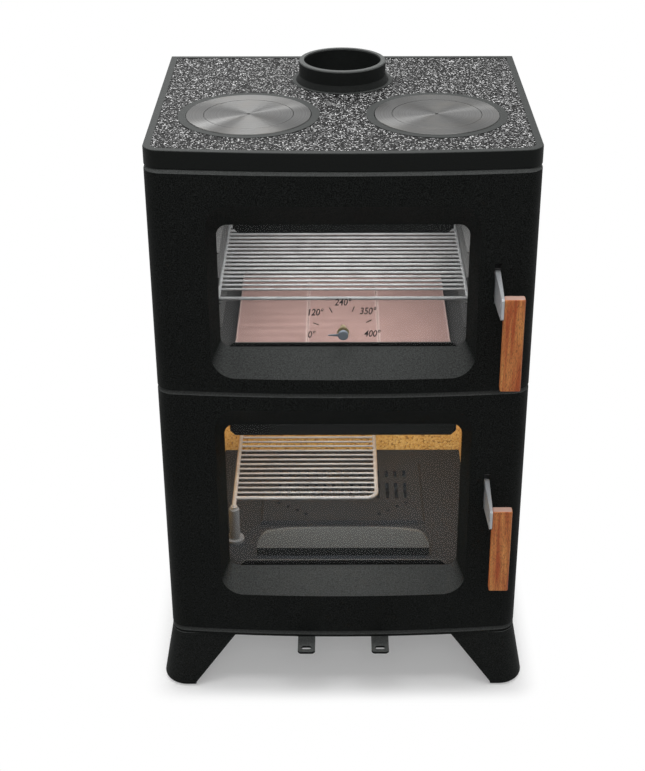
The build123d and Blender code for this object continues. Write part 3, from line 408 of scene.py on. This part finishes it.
def turned_steel(name, diameter):
    """Steel faced on a lathe, for a round piece of that diameter in metres."""
    material, tree, place = start(name)
    share = add(tree, "TexCoord").outputs["Generated"]
    off_centre = add(tree, "VectorMath", {0: share, 1: (0.5, 0.5, 0.5)}, operation="SUBTRACT")
    flat = add(tree, "VectorMath", {0: off_centre, 1: (1.0, 1.0, 0.0)}, operation="MULTIPLY")
    radius = add(tree, "VectorMath", {0: flat}, operation="LENGTH")
    radius = add(tree, "Math", {0: radius, 1: diameter * per_metre(GROOVE_MM)}, operation="MULTIPLY")
    grooves = add(tree, "TexNoise", {"W": radius, "Scale": 1.0, "Detail": 1.0}, noise_dimensions="1D")
    stain = add(tree, "TexNoise", {"Vector": place, "Scale": per_metre(45.0), "Detail": 3.0})
    ridge = add(tree, "MapRange", {"Value": grooves, "From Min": 0.3, "From Max": 0.7})
    steel = add(tree, "Mix", {"Factor": ridge, "A": "424241", "B": "626261"}, data_type="RGBA")
    stained = add(tree, "MapRange", {"Value": stain, "From Min": 0.45, "From Max": 0.75, "To Max": 0.5})
    steel = add(tree, "Mix", {"Factor": stained, "A": steel, "B": "605d58"}, data_type="RGBA")
    # painted shade: the lids' centre dimple is darkened towards the axis
    painted_dimple_shade = add(tree, "MapRange", {"Value": radius, "From Min": DIMPLE_EDGE[0],
                                    "From Max": DIMPLE_EDGE[1], "To Min": 0.9, "To Max": 0.0})
    roughness = add(tree, "MapRange", {"Value": stain, "From Min": 0.3, "From Max": 0.7,
                                       "To Min": 0.30, "To Max": 0.36})
    return finished(material, add(tree, "BsdfPrincipled", {
        "Base Color": add(tree, "Mix", {"Factor": painted_dimple_shade, "A": steel, "B": "161616"}, data_type="RGBA"),
        "Metallic": 1.0,
        "Roughness": roughness,
        "Anisotropic": 0.93,
        "Anisotropic Rotation": 0.25,
        "Tangent": add(tree, "Tangent", direction_type="RADIAL", axis="Z"),
        "Normal": add(tree, "Bump", {"Height": grooves, "Distance": 0.04 * MM}),
    }))


def width_of(node):
    """Size of a piece along X in metres."""
    low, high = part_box(node)
    return high.x - low.x


ring_steel = turned_steel("turned steel ring", width_of("hob_ring_left"))
lid_steel = turned_steel("turned steel lid", width_of("hob_lid_left"))
print("made:", ring_steel.name, "and", lid_steel.name)

# %% [markdown]
# ## Brushed steel levers
# The handle levers are cut from plate and brushed. Thin scratches are a noise squeezed across and
# stretched along their direction, which here is upright. Real ones are about 0.1 mm wide, and they
# are drawn 0.9 mm wide so that they show. Steel would have a metallic value of 1, but then the
# lever mirrors the black door beside it. The photographed one is light grey, so the value is lower
# and the rest of the light is scattered.

# %% Brushed steel
def streaks(tree, place, across_mm, along_mm):
    """Noise drawn out along Z."""
    sizes = (per_metre(across_mm), per_metre(across_mm), per_metre(along_mm))
    stretched = add(tree, "VectorMath", {0: place, 1: sizes}, operation="MULTIPLY")
    return add(tree, "TexNoise", {"Vector": stretched, "Scale": 1.0, "Detail": 3.0})


def brushed_steel():
    material, tree, place = start("brushed steel plate")
    scratch = streaks(tree, place, 0.9, 40.0)
    bright = add(tree, "MapRange", {"Value": scratch, "From Min": 0.3, "From Max": 0.7})
    roughness = add(tree, "MapRange", {"Value": scratch, "From Min": 0.3, "From Max": 0.7,
                                       "To Min": 0.40, "To Max": 0.52})
    return finished(material, add(tree, "BsdfPrincipled", {
        "Base Color": add(tree, "Mix", {"Factor": bright, "A": "a6a9ac", "B": "c2c5c8"}, data_type="RGBA"),
        "Metallic": 0.35,
        "Roughness": roughness,
        "Normal": add(tree, "Bump", {"Height": scratch, "Distance": 0.05 * MM}),
    }))


steel = brushed_steel()
print("made:", steel.name)

# %% [markdown]
# ## Wooden grips
# The grips are a reddish hardwood, sawn along the grain, sanded and oiled. Wood could be cut from a
# pattern of growth rings, but on two sticks this thin the rings show only as long lines. So the
# grain is a long streak with slow colour bands and the pores are short dark dashes, both drawn
# wider than real, at 0.8 and 0.6 mm, so that they show. The end that looks up is painted paler, as
# a painted highlight of the light from above that rakes it.

# %% Oiled hardwood
def oiled_hardwood():
    material, tree, place = start("oiled red hardwood")
    band = streaks(tree, place, 7.0, 120.0)
    fibre = streaks(tree, place, 0.8, 18.0)
    pore = streaks(tree, place, 0.6, 5.0)
    pale = add(tree, "MapRange", {"Value": band, "From Min": 0.35, "From Max": 0.65})
    wood = add(tree, "Mix", {"Factor": pale, "A": "c45e30", "B": "ffb468"}, data_type="RGBA")
    red = add(tree, "MapRange", {"Value": fibre, "From Min": 0.35, "From Max": 0.70, "To Max": 0.55})
    wood = add(tree, "Mix", {"Factor": red, "A": wood, "B": "c05a34"}, data_type="RGBA")
    dark = add(tree, "MapRange", {"Value": pore, "From Min": 0.52, "From Max": 0.64, "To Max": 0.65})
    wood = add(tree, "Mix", {"Factor": dark, "A": wood, "B": "6a2c18"}, data_type="RGBA")
    # painted highlight: the end that looks up is paler, for the light from above
    painted_lit_end = facing_up(tree, 0.6, 0.95)
    roughness = add(tree, "MapRange", {"Value": fibre, "From Min": 0.3, "From Max": 0.7,
                                       "To Min": 0.42, "To Max": 0.58})
    return finished(material, add(tree, "BsdfPrincipled", {
        "Base Color": add(tree, "Mix", {"Factor": painted_lit_end, "A": wood, "B": "c4a092"}, data_type="RGBA"),
        "Roughness": roughness,
        "Specular IOR Level": 0.4,
        "Normal": add(tree, "Bump", {"Height": fibre, "Distance": 0.10 * MM}),
    }))


wood = oiled_hardwood()
print("made:", wood.name)

# %% [markdown]
# ## Ceramic glass
# The windows are clear glass ceramic, 4 mm thick. It is nearly colourless but has a thin grey
# veil, partly its own and partly a film of smoke, and that veil is what makes the chambers look
# hazy. A pane so thin bends nothing, so a low alpha shows it better than a refracting shader, and
# it lets the lamps through. The film is slightly uneven.

# %% Ceramic glass
GLASS_IOR = 1.53
VEIL = 0.17                  # share of the view that the veil covers


def ceramic_glass():
    material, tree, place = start("clear glass ceramic")
    film = add(tree, "TexNoise", {"Vector": place, "Scale": per_metre(70.0), "Detail": 4.0})
    roughness = add(tree, "MapRange", {"Value": film, "From Min": 0.3, "From Max": 0.7,
                                       "To Min": 0.04, "To Max": 0.09})
    return finished(material, add(tree, "BsdfPrincipled", {
        "Base Color": add(tree, "Mix", {"Factor": film, "A": "3c3e3e", "B": "4c4e4e"}, data_type="RGBA"),
        "Roughness": roughness,
        "IOR": GLASS_IOR,
        "Alpha": VEIL,
    }))


glass = ceramic_glass()
print("made:", glass.name)

# %% [markdown]
# ## Sheet metal: oven walls and casing
# The oven is folded from steel sheet and painted dark grey; the casing outside is black and a
# little glossier. Sprayed paint on smooth sheet dries with a soft ripple, called orange peel,
# 2 to 3 mm wide. One function makes both, because only colours, gloss and ripple differ, and two
# small pieces further down use it too.

# %% Painted sheet
def painted_sheet(name, dark, light, gloss, ripple_mm):
    """Smooth steel with a skin between two hex colours; gloss is its lowest roughness."""
    material, tree, place = start(name)
    ripple = add(tree, "TexNoise", {"Vector": place, "Scale": per_metre(ripple_mm), "Detail": 1.0})
    cloud = add(tree, "TexNoise", {"Vector": place, "Scale": per_metre(120.0), "Detail": 4.0})
    share = add(tree, "MapRange", {"Value": cloud, "From Min": 0.35, "From Max": 0.65})
    roughness = add(tree, "MapRange", {"Value": cloud, "From Min": 0.3, "From Max": 0.7,
                                       "To Min": gloss, "To Max": gloss + 0.12})
    return finished(material, add(tree, "BsdfPrincipled", {
        "Base Color": add(tree, "Mix", {"Factor": share, "A": dark, "B": light}, data_type="RGBA"),
        "Roughness": roughness,
        "Specular IOR Level": 0.25,
        "Normal": add(tree, "Bump", {"Height": ripple, "Distance": 0.06 * MM}),
    }))


oven_paint = painted_sheet("dark grey stoved paint on sheet", "444444", "50504f", 0.55, 2.5)
casing_paint = painted_sheet("satin black paint on sheet", "151716", "1f2120", 0.42, 2.2)
print("made:", oven_paint.name, "and", casing_paint.name)

# %% [markdown]
# ## Bright wire
# The oven shelf and the grill are steel wire, welded and then chromed. Clean chrome mirrors its
# surroundings, and in a dark oven that makes it dark. The photographed wires are light, so the
# metallic value is under a half. Heat leaves the colour uneven, in patches of some 30 mm.

# %% Chromed wire
def chromed_wire():
    material, tree, place = start("chromed steel wire")
    heat = add(tree, "TexNoise", {"Vector": place, "Scale": per_metre(30.0), "Detail": 3.0})
    dulled = add(tree, "MapRange", {"Value": heat, "From Min": 0.4, "From Max": 0.7})
    roughness = add(tree, "MapRange", {"Value": heat, "From Min": 0.3, "From Max": 0.7,
                                       "To Min": 0.42, "To Max": 0.52})
    return finished(material, add(tree, "BsdfPrincipled", {
        "Base Color": add(tree, "Mix", {"Factor": dulled, "A": "b0b2b2", "B": "9fa0a0"}, data_type="RGBA"),
        "Metallic": 0.45,
        "Roughness": roughness,
        "Normal": add(tree, "Bump", {"Height": heat, "Distance": 0.02 * MM}),
    }))


chrome = chromed_wire()
print("made:", chrome.name)

# %% [markdown]
# ## Oven stones
# Three tiles of pressed refractory clay lie on the oven's floor. They are pinkish, gritty, and
# paler near their edges, so the seams show as light lines. Generated coordinates run
# from 0 to 1 over each tile, whatever its size, so the distance from 0.5 finds the edges of all
# three. Grit is a Voronoi pattern of 1.5 mm.

# %% Refractory tile
EDGE_FADE = (0.465, 0.485)   # shares of the tile's width from its middle, where the pale edge begins


def refractory_tile():
    material, tree, place = start("pressed refractory clay")
    grit = add(tree, "TexVoronoi", {"Vector": place, "Scale": per_metre(1.5)})
    chance = add(tree, "SeparateColor", {"Color": grit.outputs["Color"]}).outputs["Red"]
    cloud = add(tree, "TexNoise", {"Vector": place, "Scale": per_metre(60.0), "Detail": 4.0})
    share = add(tree, "TexCoord").outputs["Generated"]
    across = add(tree, "SeparateXYZ", {"Vector": share}).outputs["X"]
    from_middle = add(tree, "Math", {0: across, 1: 0.5}, operation="SUBTRACT")
    from_middle = add(tree, "Math", {0: from_middle}, operation="ABSOLUTE")
    edge = add(tree, "MapRange", {"Value": from_middle, "From Min": EDGE_FADE[0],
                                  "From Max": EDGE_FADE[1]})
    clay = add(tree, "Mix", {"Factor": chance, "A": "a78881", "B": "b4958d"}, data_type="RGBA")
    baked = add(tree, "MapRange", {"Value": cloud, "From Min": 0.4, "From Max": 0.7, "To Max": 0.5})
    clay = add(tree, "Mix", {"Factor": baked, "A": clay, "B": "9d7f78"}, data_type="RGBA")
    return finished(material, add(tree, "BsdfPrincipled", {
        "Base Color": add(tree, "Mix", {"Factor": edge, "A": clay, "B": "c4aca5"}, data_type="RGBA"),
        "Roughness": add(tree, "MapRange", {"Value": chance, "To Min": 0.82, "To Max": 0.94}),
        "Specular IOR Level": 0.3,
        "Normal": add(tree, "Bump", {"Height": grit, "Distance": 0.15 * MM}),
    }))


tile = refractory_tile()
print("made:", tile.name)

# %% [markdown]
# ## Vermiculite
# The firebox is lined with boards of pressed vermiculite: golden mica flakes, 2 to 5 mm wide,
# glued and pressed, so each flake catches the light by itself. A plain noise would look like
# cloud, because it has no edges. Two Voronoi patterns, coarse and fine, give flakes of two sizes
# with brown gaps between them.

# %% Vermiculite board
def vermiculite_board():
    material, tree, place = start("pressed vermiculite")
    large = add(tree, "TexVoronoi", {"Vector": place, "Scale": per_metre(4.5)})
    small = add(tree, "TexVoronoi", {"Vector": place, "Scale": per_metre(1.8)})
    large_chance = add(tree, "SeparateColor", {"Color": large.outputs["Color"]}).outputs["Red"]
    small_chance = add(tree, "SeparateColor", {"Color": small.outputs["Color"]}).outputs["Green"]
    gold = add(tree, "Mix", {"Factor": large_chance, "A": "cf9c48", "B": "f2cb7c"}, data_type="RGBA")
    flecks = add(tree, "MapRange", {"Value": small_chance, "To Max": 0.6})
    gold = add(tree, "Mix", {"Factor": flecks, "A": gold, "B": "e0b25c"}, data_type="RGBA")
    gap = add(tree, "MapRange", {"Value": large, "From Min": 0.55, "From Max": 0.85, "To Max": 0.8})
    return finished(material, add(tree, "BsdfPrincipled", {
        "Base Color": add(tree, "Mix", {"Factor": gap, "A": gold, "B": "7a5320"}, data_type="RGBA"),
        "Roughness": add(tree, "MapRange", {"Value": small_chance, "To Min": 0.45, "To Max": 0.85}),
        "Specular IOR Level": 0.5,
        "Normal": add(tree, "Bump", {"Height": small_chance, "Distance": 0.25 * MM}),
    }))


vermiculite = vermiculite_board()
print("made:", vermiculite.name)

# %% [markdown]
# ## Bare cast iron
# The firebox's floor and grate are bare. Iron that has been hot is dark grey with a dusting of ash
# and a brown cast where it has rusted a little. It is oxide that shows and not bright metal, so
# the metallic value stays 0. The sand's grain is coarser here, because nothing covers it.

# %% Bare cast iron
def bare_iron():
    material, tree, place = start("bare cast iron with ash")
    grain = add(tree, "TexNoise", {"Vector": place, "Scale": per_metre(2.2), "Detail": 3.0})
    rust = add(tree, "TexNoise", {"Vector": place, "Scale": per_metre(35.0), "Detail": 5.0})
    raised = add(tree, "MapRange", {"Value": grain, "From Min": 0.3, "From Max": 0.7})
    iron = add(tree, "Mix", {"Factor": raised, "A": "1a1e22", "B": "262b30"}, data_type="RGBA")
    rusted = add(tree, "MapRange", {"Value": rust, "From Min": 0.55, "From Max": 0.75, "To Max": 0.35})
    roughness = add(tree, "MapRange", {"Value": grain, "From Min": 0.3, "From Max": 0.7,
                                       "To Min": 0.62, "To Max": 0.80})
    return finished(material, add(tree, "BsdfPrincipled", {
        "Base Color": add(tree, "Mix", {"Factor": rusted, "A": iron, "B": "33302e"}, data_type="RGBA"),
        "Roughness": roughness,
        "Specular IOR Level": 0.3,
        "Normal": add(tree, "Bump", {"Height": grain, "Distance": 0.25 * MM}),
    }))


iron = bare_iron()
print("made:", iron.name)

# %% [markdown]
# ## Zinc plated screws
# Screws, bolts and pins are plated with zinc, which has a dull blue-grey shine. They are bare metal
# to the eye, so the metallic value is 1, and a fine cloud breaks up the roughness.

# %% Zinc plate
def zinc_plate():
    material, tree, place = start("zinc plated steel")
    cloud = add(tree, "TexNoise", {"Vector": place, "Scale": per_metre(4.0), "Detail": 3.0})
    roughness = add(tree, "MapRange", {"Value": cloud, "From Min": 0.3, "From Max": 0.7,
                                       "To Min": 0.30, "To Max": 0.45})
    return finished(material, add(tree, "BsdfPrincipled", {
        "Base Color": add(tree, "Mix", {"Factor": cloud, "A": "9ea1a6", "B": "c0c3c6"}, data_type="RGBA"),
        "Metallic": 1.0,
        "Roughness": roughness,
        "Normal": add(tree, "Bump", {"Height": cloud, "Distance": 0.03 * MM}),
    }))


zinc = zinc_plate()
print("made:", zinc.name)

# %% [markdown]
# ## Galvanised ash box
# The ash box and its drawer are galvanised sheet: zinc freezes on it in flat crystals called
# spangle, 8 to 15 mm wide, each with its own grey. That is a Voronoi pattern as it stands, with one
# random value for each crystal's colour, gloss and height.

# %% Galvanised sheet
def galvanised_sheet():
    material, tree, place = start("galvanised sheet")
    crystal = add(tree, "TexVoronoi", {"Vector": place, "Scale": per_metre(11.0)})
    chance = add(tree, "SeparateColor", {"Color": crystal.outputs["Color"]}).outputs["Red"]
    return finished(material, add(tree, "BsdfPrincipled", {
        "Base Color": add(tree, "Mix", {"Factor": chance, "A": "8d9092", "B": "b3b6b8"}, data_type="RGBA"),
        "Metallic": 0.9,
        "Roughness": add(tree, "MapRange", {"Value": chance, "To Min": 0.36, "To Max": 0.55}),
        "Normal": add(tree, "Bump", {"Height": chance, "Distance": 0.03 * MM}),
    }))


galvanised = galvanised_sheet()
print("made:", galvanised.name)

# %% [markdown]
# ## Rope seals
# The doors close on braided rope of glass fibre, grey from soot. Modelling each strand would cost
# thousands of faces for a piece that shows only with a door open. Two sets of slanting waves that
# cross each other, the higher one on top, read as a braid. Real strands lie about 2 mm apart, and
# they are drawn 4.4 mm apart so that they show.

# %% Braided rope
WAVE_MM = 12.0               # for waves that slant in X, Y and Z, this sets crests 4.4 mm apart


def braided_rope():
    material, tree, place = start("braided glass-fibre rope")
    turned = add(tree, "VectorMath", {0: place, 1: (-1.0, 1.0, 1.0)}, operation="MULTIPLY")
    one_way, other_way = [
        add(tree, "TexWave", {"Vector": run, "Scale": per_metre(WAVE_MM), "Distortion": 1.0},
            bands_direction="DIAGONAL").outputs["Fac"] for run in (place, turned)]
    braid = add(tree, "Math", {0: one_way, 1: other_way}, operation="MAXIMUM")
    return finished(material, add(tree, "BsdfPrincipled", {
        "Base Color": add(tree, "Mix", {"Factor": braid, "A": "2e2e2d", "B": "6e6d6a"}, data_type="RGBA"),
        "Roughness": add(tree, "MapRange", {"Value": braid, "To Min": 0.95, "To Max": 0.80}),
        "Specular IOR Level": 0.2,
        "Normal": add(tree, "Bump", {"Height": braid, "Distance": 0.4 * MM}),
    }))


rope = braided_rope()
print("made:", rope.name)

# %% [markdown]
# ## The thermometer's brass cup
# The needle turns over a small cup of pale turned brass. It is a few pixels wide in the picture, so
# a pale yellow with scratches, drawn far wider than real ones, is all that it needs. The metallic
# value is under 1 to keep it bright against the dark oven.

# %% Turned brass
def turned_brass():
    material, tree, place = start("pale turned brass")
    scratch = streaks(tree, place, 0.8, 6.0)
    bright = add(tree, "MapRange", {"Value": scratch, "From Min": 0.3, "From Max": 0.7})
    roughness = add(tree, "MapRange", {"Value": scratch, "From Min": 0.3, "From Max": 0.7,
                                       "To Min": 0.34, "To Max": 0.50})
    return finished(material, add(tree, "BsdfPrincipled", {
        "Base Color": add(tree, "Mix", {"Factor": bright, "A": "b39c6c", "B": "e6dcb8"}, data_type="RGBA"),
        "Metallic": 0.7,
        "Roughness": roughness,
        "Normal": add(tree, "Bump", {"Height": scratch, "Distance": 0.05 * MM}),
    }))


brass = turned_brass()
print("made:", brass.name)

# %% [markdown]
# ## The flue collar
# The collar is painted black, but its rim was ground flat, and the bare ring there is grey. Its
# pale band is also painted light from above on the rim. It is one piece, so the height of a point
# says which finish it gets, as on the cooktop.

# %% Flue collar
RIM_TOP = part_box("flue_collar")[1].z
PALE_RIM_FROM = RIM_TOP - 3.0 * MM    # the paint thins out between these two heights
PALE_RIM_TO = RIM_TOP - 2.5 * MM


def flue_iron():
    material, tree, place = start("black painted flue collar with a ground rim")
    grain = add(tree, "TexNoise", {"Vector": place, "Scale": per_metre(1.6), "Detail": 2.0})
    height = add(tree, "SeparateXYZ", {"Vector": place}).outputs["Z"]
    # painted top light, partly bare ground metal: the top few millimetres of the rim are pale grey
    ground_with_painted_top_light = add(tree, "MapRange", {"Value": height, "From Min": PALE_RIM_FROM, "From Max": PALE_RIM_TO})
    black = add(tree, "Mix", {"Factor": grain, "A": "101211", "B": "1d1f1e"}, data_type="RGBA")
    roughness = add(tree, "MapRange", {"Value": grain, "From Min": 0.3, "From Max": 0.7,
                                       "To Min": 0.55, "To Max": 0.70})
    return finished(material, add(tree, "BsdfPrincipled", {
        "Base Color": add(tree, "Mix", {"Factor": ground_with_painted_top_light, "A": black, "B": "565857"}, data_type="RGBA"),
        "Roughness": roughness,
        "Specular IOR Level": 0.1,
        "Normal": add(tree, "Bump", {"Height": grain, "Distance": 0.25 * MM}),
    }))


collar = flue_iron()
print("made:", collar.name)

# %% [markdown]
# ## Needle and grill socket
# The needle is thin steel blued by heat, and the socket of the grill's post is a small grey
# casting. Both are smooth and a little cloudy in colour, so the painted sheet's function makes them
# with other colours.

# %% Blued steel and grey iron
blued = painted_sheet("blued needle steel", "6a727b", "7c848c", 0.45, 3.0)
grey_iron = painted_sheet("grey cast socket", "66696c", "75787a", 0.60, 2.0)
print("made:", blued.name, "and", grey_iron.name)

# %% [markdown]
# ## Dressing the pieces
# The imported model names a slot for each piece, so one table from slot to finish dresses nearly
# all of them. A few pieces share a slot but not a finish, and a second table by piece overrules it.

# %% Give every piece its finish
FINISHES = {
    "black_stove_paint": paint,
    "cooktop_enamel": cooktop,
    "turned_steel": ring_steel,
    "polished_steel": steel,
    "grip_wood": wood,
    "window_glass": glass,
    "seal_rope": rope,
    "oven_steel": oven_paint,
    "casing_sheet": casing_paint,
    "chromed_wire": chrome,
    "oven_stone": tile,
    "vermiculite": vermiculite,
    "bare_cast_iron": iron,
    "zinc_screw": zinc,
    "coil_brass": brass,
    "galvanised_sheet": galvanised,
}
OWN_FINISHES = {
    "flue_collar": collar,
    "log_retainer": paint,
    "grill_socket": grey_iron,
    "thermometer_needle": blued,
    "hob_lid_left": lid_steel,
    "hob_lid_right": lid_steel,
}
slot_of = {part["node"]: part["material_slot"] for part in frame["record"]["subparts"]}
for node, piece in frame["nodes"].items():
    finish = OWN_FINISHES.get(node, FINISHES[slot_of[node]])
    piece.data.materials.clear()
    piece.data.materials.append(finish)
print("dressed pieces:", len(frame["nodes"]))

# %% [markdown]
# ## The dial's ink
# The dial is printed straight on the glass in dark ceramic ink and fired in. An image on the glass
# would blur up close, so each figure is a flat piece of its own, 0.1 mm in front of the glass, and
# it swings with the upper door.

# %% Ceramic ink
INK_PROUD = 0.1 * MM


def ceramic_ink():
    material, tree, place = start("fired ceramic ink")
    wear = add(tree, "TexNoise", {"Vector": place, "Scale": per_metre(2.0), "Detail": 2.0})
    roughness = add(tree, "MapRange", {"Value": wear, "From Min": 0.3, "From Max": 0.7,
                                       "To Min": 0.45, "To Max": 0.65})
    return finished(material, add(tree, "BsdfPrincipled", {
        "Base Color": add(tree, "Mix", {"Factor": wear, "A": "140c0b", "B": "201513"}, data_type="RGBA"),
        "Roughness": roughness,
        "Normal": add(tree, "Bump", {"Height": wear, "Distance": 0.02 * MM}),
    }))


ink = ceramic_ink()
hub_low, hub_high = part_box("thermometer_hub")
axis = (hub_low + hub_high) / 2
ink_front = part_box("upper_door_glass")[0].y - INK_PROUD


def on_the_glass(name, points, faces):
    """A printed piece, from points in metres right of and above the needle's axis."""
    mesh = bpy.data.meshes.new(name)
    mesh.from_pydata([(axis.x + x, ink_front, axis.z + z) for x, z in points], [], faces)
    piece = bpy.data.objects.new(name, mesh)
    bpy.context.scene.collection.objects.link(piece)
    mesh.materials.append(ink)
    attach(piece, "upper_door")


print("made:", ink.name, "; dial centre:", round(axis.x, 4), round(axis.z, 4))

# %% [markdown]
# ## Numbers on the dial
# There are five numbers in degrees on a half circle. Drawing figures by hand takes long, and
# Blender's text objects have them ready: a text is turned into a mesh, and its points are scaled so
# that it is as tall as the printed one. The printed figures are narrower and a little bolder than
# the font's, and they lean, so the text is narrowed, thickened and sheared.

# %% Numbers
FIGURE_HEIGHT = 12.8 * MM
FIGURE_NARROWING = 0.84
FIGURE_LEAN = 0.20
FIGURE_WEIGHT = 0.015        # thickens the strokes, for a font size of one unit
NUMBERS_MM = {"0": (-51.6, -0.5), "120": (-44.3, 39.9), "240": (-0.4, 57.9),
              "350": (40.5, 42.1), "400": (48.0, 1.1)}   # middles, right of and above the axis


def figures(text):
    """Mesh of a text as points and faces, round its own middle and one unit tall."""
    curve = bpy.data.curves.new("figures", "FONT")
    curve.body = text
    curve.shear = FIGURE_LEAN
    curve.offset = FIGURE_WEIGHT
    writer = bpy.data.objects.new("figures", curve)
    bpy.context.scene.collection.objects.link(writer)
    outline = writer.to_mesh()
    points = [v.co.copy() for v in outline.vertices]
    faces = [tuple(p.vertices) for p in outline.polygons]
    bpy.data.objects.remove(writer)
    bpy.data.curves.remove(curve)
    low = min(p.y for p in points)
    tall = max(p.y for p in points) - low
    middle = (min(p.x for p in points) + max(p.x for p in points)) / 2
    return [((p.x - middle) / tall, (p.y - low) / tall - 0.5) for p in points], faces


for number, (right, up) in NUMBERS_MM.items():
    outline, faces = figures(number + "\N{DEGREE SIGN}")
    points = [(right * MM + x * FIGURE_HEIGHT * FIGURE_NARROWING, up * MM + z * FIGURE_HEIGHT)
              for x, z in outline]
    on_the_glass("dial_number_" + number, points, faces)
print("numbers on the dial:", ", ".join(NUMBERS_MM))

# %% [markdown]
# ## Ticks on the dial
# A short tick stands between each pair of numbers and points at the needle's axis. A tick is one
# four-sided face, worked out from its angle.

# %% Ticks
TICKS_DEGREES = (157.5, 115.0, 70.0, 29.0)   # counted from the right of the axis
TICK_RADIUS_MM = (43.0, 53.0)
TICK_WIDTH_MM = 1.6

for index, angle in enumerate(TICKS_DEGREES):
    along = Vector((math.cos(math.radians(angle)), math.sin(math.radians(angle))))
    across = Vector((-along.y, along.x)) * TICK_WIDTH_MM / 2 * MM
    inner, outer = [along * radius * MM for radius in TICK_RADIUS_MM]
    ring = [inner - across, outer - across, outer + across, inner + across]
    on_the_glass("dial_tick_" + str(index), ring, [(0, 1, 2, 3)])
print("ticks on the dial:", len(TICKS_DEGREES))
